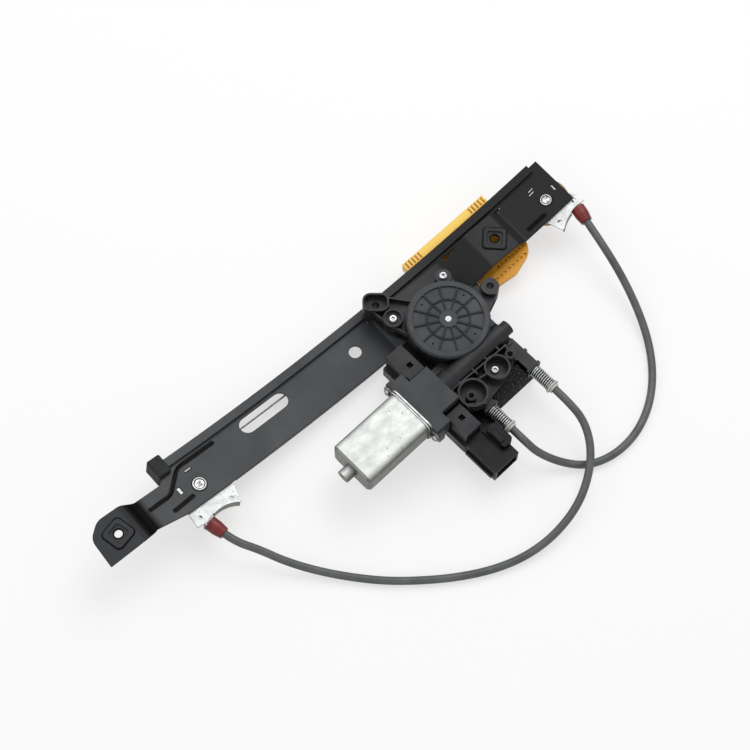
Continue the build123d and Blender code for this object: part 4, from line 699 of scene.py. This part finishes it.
# jaw under the carrier, mm: the rounded corners of the lobe, a collar round its nut and two ribs
jaw = {
    "outline": [(150.3, 60), (150.3, 65.9), (203.8, 65.9), (203.8, 52), (196, 39), (178, 36.2),
                (158, 36.2), (150.3, 42)],
    "round": (9, 6),         # reach and steps of its corners
    "rim": 0.6,
    "low": -18.4,
    "high": -16.35,
    "foot": -19.25,
    "overlap": 0.1,
    "collar": {"x": 162.0, "y": 51.0, "inner": 4.75, "outer": 7.4, "chamfer": 0.3},
    "ribs": [(186.0, 44.5), (186.0, 57.5)],
    "ribSize": (28.0, 1.7, 0.8),
    "ribRim": 0.25,
}
slab("roundedJaw", roundedLoop(jaw["outline"], *jaw["round"]), jaw["low"], jaw["high"], jaw["rim"],
     railPoint, paint["yellowPlastic"], "carrier", node="glass_clamp", slot="clamp_plastic")
collar, foot, top = jaw["collar"], jaw["foot"], jaw["low"] + jaw["overlap"]
collarProfile = [(collar["inner"], top), (collar["inner"], foot),
                 (collar["outer"] - collar["chamfer"], foot),
                 (collar["outer"], foot + collar["chamfer"]), (collar["outer"], top)]
turned("jawCollar", collarProfile, railPoint(collar["x"], collar["y"], 0) * 1000,
       webNormal(collar["x"]), paint["yellowPlastic"], "carrier", closed=True, slot="clamp_plastic")
for k, spot in enumerate(jaw["ribs"]):
    slab(f"jawRib{k}", roundBox(spot, *jaw["ribSize"]), foot, top, jaw["ribRim"], railPoint,
         paint["yellowPlastic"], "carrier", slot="clamp_plastic")


# tabs of the two deflector plates, mm, seen in the rail's slots: x, y, width, height, turn
tabs = {
    "spots": [(-159.6, 73.4, 6.2, 1.0, 0), (-176.7, 62.0, 2.6, 6.1, 0), (249.2, 61.0, 1.2, 5.6, 0),
              (232.0, 70.5, 5.6, 0.8, 4), (233.5, 73.4, 5.6, 0.8, 4)],
    "low": -2.2,
    "high": -0.3,
    "corner": 0.3,
    "cornerSteps": 3,
    "rim": 0.1,
}
for k, (x, y, width, height, turn) in enumerate(tabs["spots"]):
    outline = roundBox((x, y), width, height, tabs["corner"], turn, tabs["cornerSteps"])
    slab(f"plateTab{k}", outline, tabs["low"], tabs["high"], tabs["rim"], railPoint,
         paint["zincPlate"], "frame", slot="zinc_steel")


# shallow floors of the lobe's pockets, and the carrier's apron, mm
pockets = {
    "floors": [[(157, 33.4), (192, 33.4), (192, 37.3), (157, 37.3)],
               [(167.4, 41.8), (198, 41.8), (202, 49), (202, 52.8), (167.4, 52.8)]],
    "floorSlab": (-9.0, -7.5, 0.1),          # low, high, rim
    "apron": [(128, 73.5), (152, 73.5), (152, 83.5), (128, 83.5)],
    "apronSlab": (-11.6, -9.4, 0.3),
}
for k, outline in enumerate(pockets["floors"]):
    slab(f"pocketFloor{k}", outline, *pockets["floorSlab"], railPoint, paint["yellowPlastic"],
         "carrier", slot="clamp_plastic")
slab("carrierApron", pockets["apron"], *pockets["apronSlab"], railPoint, paint["yellowPlastic"],
     "carrier", slot="clamp_plastic")
print("carrier dressed")


# second plate of the motor's flange, mm
flange = {
    "faceU": -81.5,
    "size": (47.2, 29.4, 6.5),               # width, height, corner
    "slab": (-2.0, -0.9, 0.25),              # from, to, rim
}


def motorPoint(across, up, along):
    # the worm axis's own directions to metres: across and up from it, along it from the flange
    return unitPoint(flange["faceU"] + along, place["wormV"] + across, place["wormZ"] + up)


slab("flangePlate", roundBox((0, 0), *flange["size"]), *flange["slab"], motorPoint,
     paint["zincPlate"], "frame", slot="zinc_steel")
print("flange plated")


# moulded webs that close the unit between cover, latches and socket, and the catch beside the
# socket, mm: low, high and rim of each
webs = {
    "coverWeb": {"outline": [(-47, -27), (-31, -27), (-31, -12), (-32, 2), (-32, 17), (-40, 17),
                             (-46, 6)],
                 "slab": (12.5, 22.0, 0.6)},
    "latchWeb": {"outline": [(-47, -46), (-34, -46), (-31, -57), (-27, -76), (-27, -91), (-38, -95),
                             (-46, -93)],
                 "slab": (10.5, 18.6, 0.6)},
    "bossWeb": {"outline": [(34, 22), (41.7, 20.0), (50, 15), (50, 6), (40, 3), (34, 10)],
                "slab": (14.0, 23.5, 0.6)},
    "socketCatch": {"outline": roundedLoop([(-40, -88.5), (-34.0, -91), (-34.0, -110), (-38, -113),
                                            (-45.5, -112), (-45.5, -91)], 1.6, 3),
                    "slab": (24.0, 35.5, 0.5)},
    "catchStep": {"outline": roundBox((-42.0, -101.0), 5.4, 13.0, 0.8), "slab": (34.5, 36.6, 0.4)},
}
for name, web in webs.items():
    slab(name, web["outline"], *web["slab"], unitPoint, paint["socketMoulding"], "frame",
         slot="black_plastic")
print("webs closed")


# painted shade on the tops of the cover's ribs, mm: straight spokes and a ring
coverLines = {
    "level": 47.73,
    "width": 1.05,
    "spokes": 12,
    "from": 7.9,
    "to": 30.4,
    "ring": 18.5,
    "ringSteps": 96,
}
# a spoke is a flat rectangle along its radius, turned by its own angle
angles = np.arange(coverLines["spokes"])[:, None] * 2 * np.pi / coverLines["spokes"]
near, far, halfLine = coverLines["from"], coverLines["to"], coverLines["width"] / 2
reach = np.array([[near, far, far, near]])
aside = np.array([[-halfLine, -halfLine, halfLine, halfLine]])
spokes = unitPoint(np.cos(angles) * reach - np.sin(angles) * aside,
                   np.sin(angles) * reach + np.cos(angles) * aside, coverLines["level"])
meshPiece("coverSpokes", spokes, np.arange(4 * len(angles)).reshape(-1, 4).tolist(),
          paint["ribShade"], "frame", slot="black_plastic")
around = np.linspace(0, 2 * np.pi, coverLines["ringSteps"], endpoint=False)[None, :]
ringRadius = coverLines["ring"] + np.array([[-halfLine], [halfLine]])
meshPiece("coverRing", unitPoint(ringRadius * np.cos(around), ringRadius * np.sin(around),
                                 coverLines["level"]),
          gridFaces(2, coverLines["ringSteps"]), paint["ribShade"], "frame", slot="black_plastic")
print("cover lined")


# screw bosses of the shelf, each with a disc of painted shade in its bore, and small discs of
# painted shade on four panels of the cover, mm
recesses = {
    # u, v, z, outer and inner radius
    "bosses": [(15.6, -58.5, 44.0, 4.4, 2.3), (-34.8, -62.3, 44.0, 4.4, 2.3)],
    "bossSteps": 36,
    "panelMarks": {"radius": 26.4, "angles": (15, 105, 195, 285), "z": 46.4, "size": 0.85,
                   "steps": 20},
}
for k, (u, v, z, outer, inner) in enumerate(recesses["bosses"]):
    spot = unitPoint(u, v, z) * 1000
    ringProfile = [(inner, 0.02), (inner, 0.35), (inner + 0.3, 0.5), (outer - 0.4, 0.5),
                   (outer, 0.3), (outer, 0.02)]
    turned(f"bossRing{k}", ringProfile, spot, (0, 0, 1), paint["moulding"], "frame",
           count=recesses["bossSteps"], closed=True, slot="black_plastic")
    turned(f"bossBoreShade{k}", [(inner + 0.05, 0.03), (inner + 0.05, 0.08), (0.02, 0.08)], spot,
           (0, 0, 1), paint["shade"], "frame", count=recesses["bossSteps"], slot="black_plastic")
marks = recesses["panelMarks"]
for k, angle in enumerate(np.radians(marks["angles"])):
    u, v = marks["radius"] * np.cos(angle), marks["radius"] * np.sin(angle)
    spot = unitPoint(u, v, marks["z"]) * 1000
    turned(f"panelMark{k}", [(marks["size"], 0.01), (marks["size"], 0.08), (0.02, 0.12)], spot,
           (0, 0, 1), paint["shade"], "frame", count=marks["steps"], slot="black_plastic")
print("recesses placed")


# foam, mm: a slab with a torn, bumpy lump between the outlets
foam = {
    "slab": {"centre": (0, -54), "size": (63, 48, 1.2), "levels": (0.0, 20.0, 0.9)},
    "lump": {"u": (-18.9, 18.9), "v": (-77.9, -64.1), "z": (19.6, 28.9), "grid": (90, 240)},
    "bump": 0.9,                                     # height of all bumps together
    "waves": [((9, 24), 0.5), ((34, 90), 0.4)],      # cells and height of the wide and the small
    "rimDrop": 0.8,
    "rimWidth": 0.5,
}


def smoothNoise(rows, cols, cells, amount):
    # random heights on a coarse grid, blended by cosines between its points
    coarse = rng.random((cells[0] + 2, cells[1] + 2))
    r = np.linspace(0, cells[0], rows, endpoint=False)
    c = np.linspace(0, cells[1], cols, endpoint=False)
    ri, ci = r.astype(int), c.astype(int)
    rf = (0.5 - 0.5 * np.cos((r - ri) * np.pi))[:, None]
    cf = (0.5 - 0.5 * np.cos((c - ci) * np.pi))[None, :]
    low = coarse[np.ix_(ri, ci)] * (1 - cf) + coarse[np.ix_(ri, ci + 1)] * cf
    high = coarse[np.ix_(ri + 1, ci)] * (1 - cf) + coarse[np.ix_(ri + 1, ci + 1)] * cf
    return amount * (low * (1 - rf) + high * rf)


# the lump's height: its top less the bumps, plus random waves, less an exponential drop at the rim,
# whose outermost points stand on the slab
lump = foam["lump"]
rows, cols = lump["grid"]
v = np.linspace(*lump["v"], rows)[:, None]
u = np.linspace(*lump["u"], cols)[None, :]
rim = np.minimum(np.minimum(v - lump["v"][0], lump["v"][1] - v),
                 np.minimum(u - lump["u"][0], lump["u"][1] - u))
height = lump["z"][1] - foam["bump"]
for cells, amount in foam["waves"]:
    height = height + smoothNoise(rows, cols, cells, amount)
height = height - foam["rimDrop"] * np.exp(-rim / foam["rimWidth"])
height = np.where(rim < 0.01, lump["z"][0], height)
meshPiece("foamLump", unitPoint(u, v, height), gridFaces(rows, cols, wrapCols=False),
          paint["foam"], "frame", slot="foam")
pad = foam["slab"]
slab("foamSlab", roundBox(pad["centre"], *pad["size"]), *pad["levels"], unitPoint, paint["foam"],
     "frame", node="foam_pad", slot="foam")
print("foam laid")


# floor, light and camera: target and distance in mm, all else in m
studio = {
    "target": (17.0, 37.0, 18.0),
    "azimuth": -41.5,
    "elevation": 68.0,
    "distance": 1500.0,
    "lens": 83.7,
    "clip": (0.05, 20),
    "lamps": [("overhead", (1.0, 0.5, 1.6), 1.3, 17.0), ("front", (-1.1, -1.0, 1.2), 1.0, 3.0),
              ("side", (-0.6, 1.2, 1.4), 1.0, 5.0)],  # name, place, size, watts
    "worldLight": 0.55,
    "floorSize": 4.0,
    "floorLevel": -0.0002,
    "floorGrey": 0.93,
    "floorRough": 0.85,
    "floorSpecular": 0.1,
    "floorWhite": 0.6,       # share of plain white that the camera sees in the floor
}

target = Vector(studio["target"]) / 1000
azimuth, elevation = math.radians(studio["azimuth"]), math.radians(studio["elevation"])
away = Vector((math.sin(azimuth) * math.cos(elevation), -math.cos(azimuth) * math.cos(elevation),
               math.sin(elevation)))
cameraData = bpy.data.cameras.new("photoCamera")
cameraData.lens = studio["lens"]
cameraData.clip_start, cameraData.clip_end = studio["clip"]
camera = bpy.data.objects.new("photoCamera", cameraData)
camera.location = target + away * studio["distance"] / 1000
camera.rotation_euler = (-away).to_track_quat("-Z", "Y").to_euler()
bpy.context.scene.collection.objects.link(camera)
bpy.context.scene.camera = camera


def plainSurround(tree):
    # 1 for what the camera, mirrors and glass see, 0 for what lights the object: the greatest of
    # three rays' shares
    rays = tree.nodes.new("ShaderNodeLightPath").outputs
    seen = rays["Is Camera Ray"]
    for ray in ("Is Glossy Ray", "Is Transmission Ray"):
        greater = tree.nodes.new("ShaderNodeMath")
        greater.operation = "MAXIMUM"
        tree.links.new(seen, greater.inputs[0])
        tree.links.new(rays[ray], greater.inputs[1])
        seen = greater.outputs[0]
    return seen


def mixInto(tree, share, first, second, output):
    # the first shader times 1 minus the share, plus the second times the share, as the surface
    mix = tree.nodes.new("ShaderNodeMixShader")
    tree.links.new(share, mix.inputs[0])
    tree.links.new(first.outputs[0], mix.inputs[1])
    tree.links.new(second.outputs[0], mix.inputs[2])
    tree.links.new(mix.outputs[0], tree.nodes[output].inputs["Surface"])


world = bpy.data.worlds.new("studioWorld")
world.use_nodes = True
bpy.context.scene.world = world
worldTree = world.node_tree
lightShade = worldTree.nodes["Background"]
lightShade.inputs["Color"].default_value = (1, 1, 1, 1)
lightShade.inputs["Strength"].default_value = studio["worldLight"]
whiteShade = worldTree.nodes.new("ShaderNodeBackground")
whiteShade.inputs["Color"].default_value = (1, 1, 1, 1)
whiteShade.inputs["Strength"].default_value = 1.0
mixInto(worldTree, plainSurround(worldTree), lightShade, whiteShade, "World Output")

floorMaterial = bpy.data.materials.new("paleFloor")
floorMaterial.use_nodes = True
floorTree = floorMaterial.node_tree
floorShader = floorTree.nodes["Principled BSDF"]
floorShader.inputs["Base Color"].default_value = (*[studio["floorGrey"]] * 3, 1)
floorShader.inputs["Roughness"].default_value = studio["floorRough"]
floorShader.inputs["Specular IOR Level"].default_value = studio["floorSpecular"]
# the camera sees the floor partly as plain white, so the shadow on it stays pale
floorShare = floorTree.nodes.new("ShaderNodeMath")
floorShare.operation = "MULTIPLY"
floorShare.inputs[1].default_value = studio["floorWhite"]
floorTree.links.new(plainSurround(floorTree), floorShare.inputs[0])
mixInto(floorTree, floorShare.outputs[0], floorShader, floorTree.nodes.new("ShaderNodeEmission"),
        "Material Output")
half, level = studio["floorSize"] / 2, studio["floorLevel"]
floorMesh = bpy.data.meshes.new("floor")
floorMesh.from_pydata([(-half, -half, level), (half, -half, level), (half, half, level),
                       (-half, half, level)], [], [(0, 1, 2, 3)])
floorMesh.materials.append(floorMaterial)
floor = bpy.data.objects.new("floor", floorMesh)
bpy.context.scene.collection.objects.link(floor)

for name, where, size, power in studio["lamps"]:
    lampData = bpy.data.lights.new(name, "AREA")
    lampData.size = size
    lampData.energy = power
    lamp = bpy.data.objects.new(name, lampData)
    lamp.location = where
    lamp.rotation_euler = (target - Vector(where)).to_track_quat("-Z", "Y").to_euler()
    bpy.context.scene.collection.objects.link(lamp)

bpy.context.scene.view_settings.view_transform = "Standard"
print("studio ready")
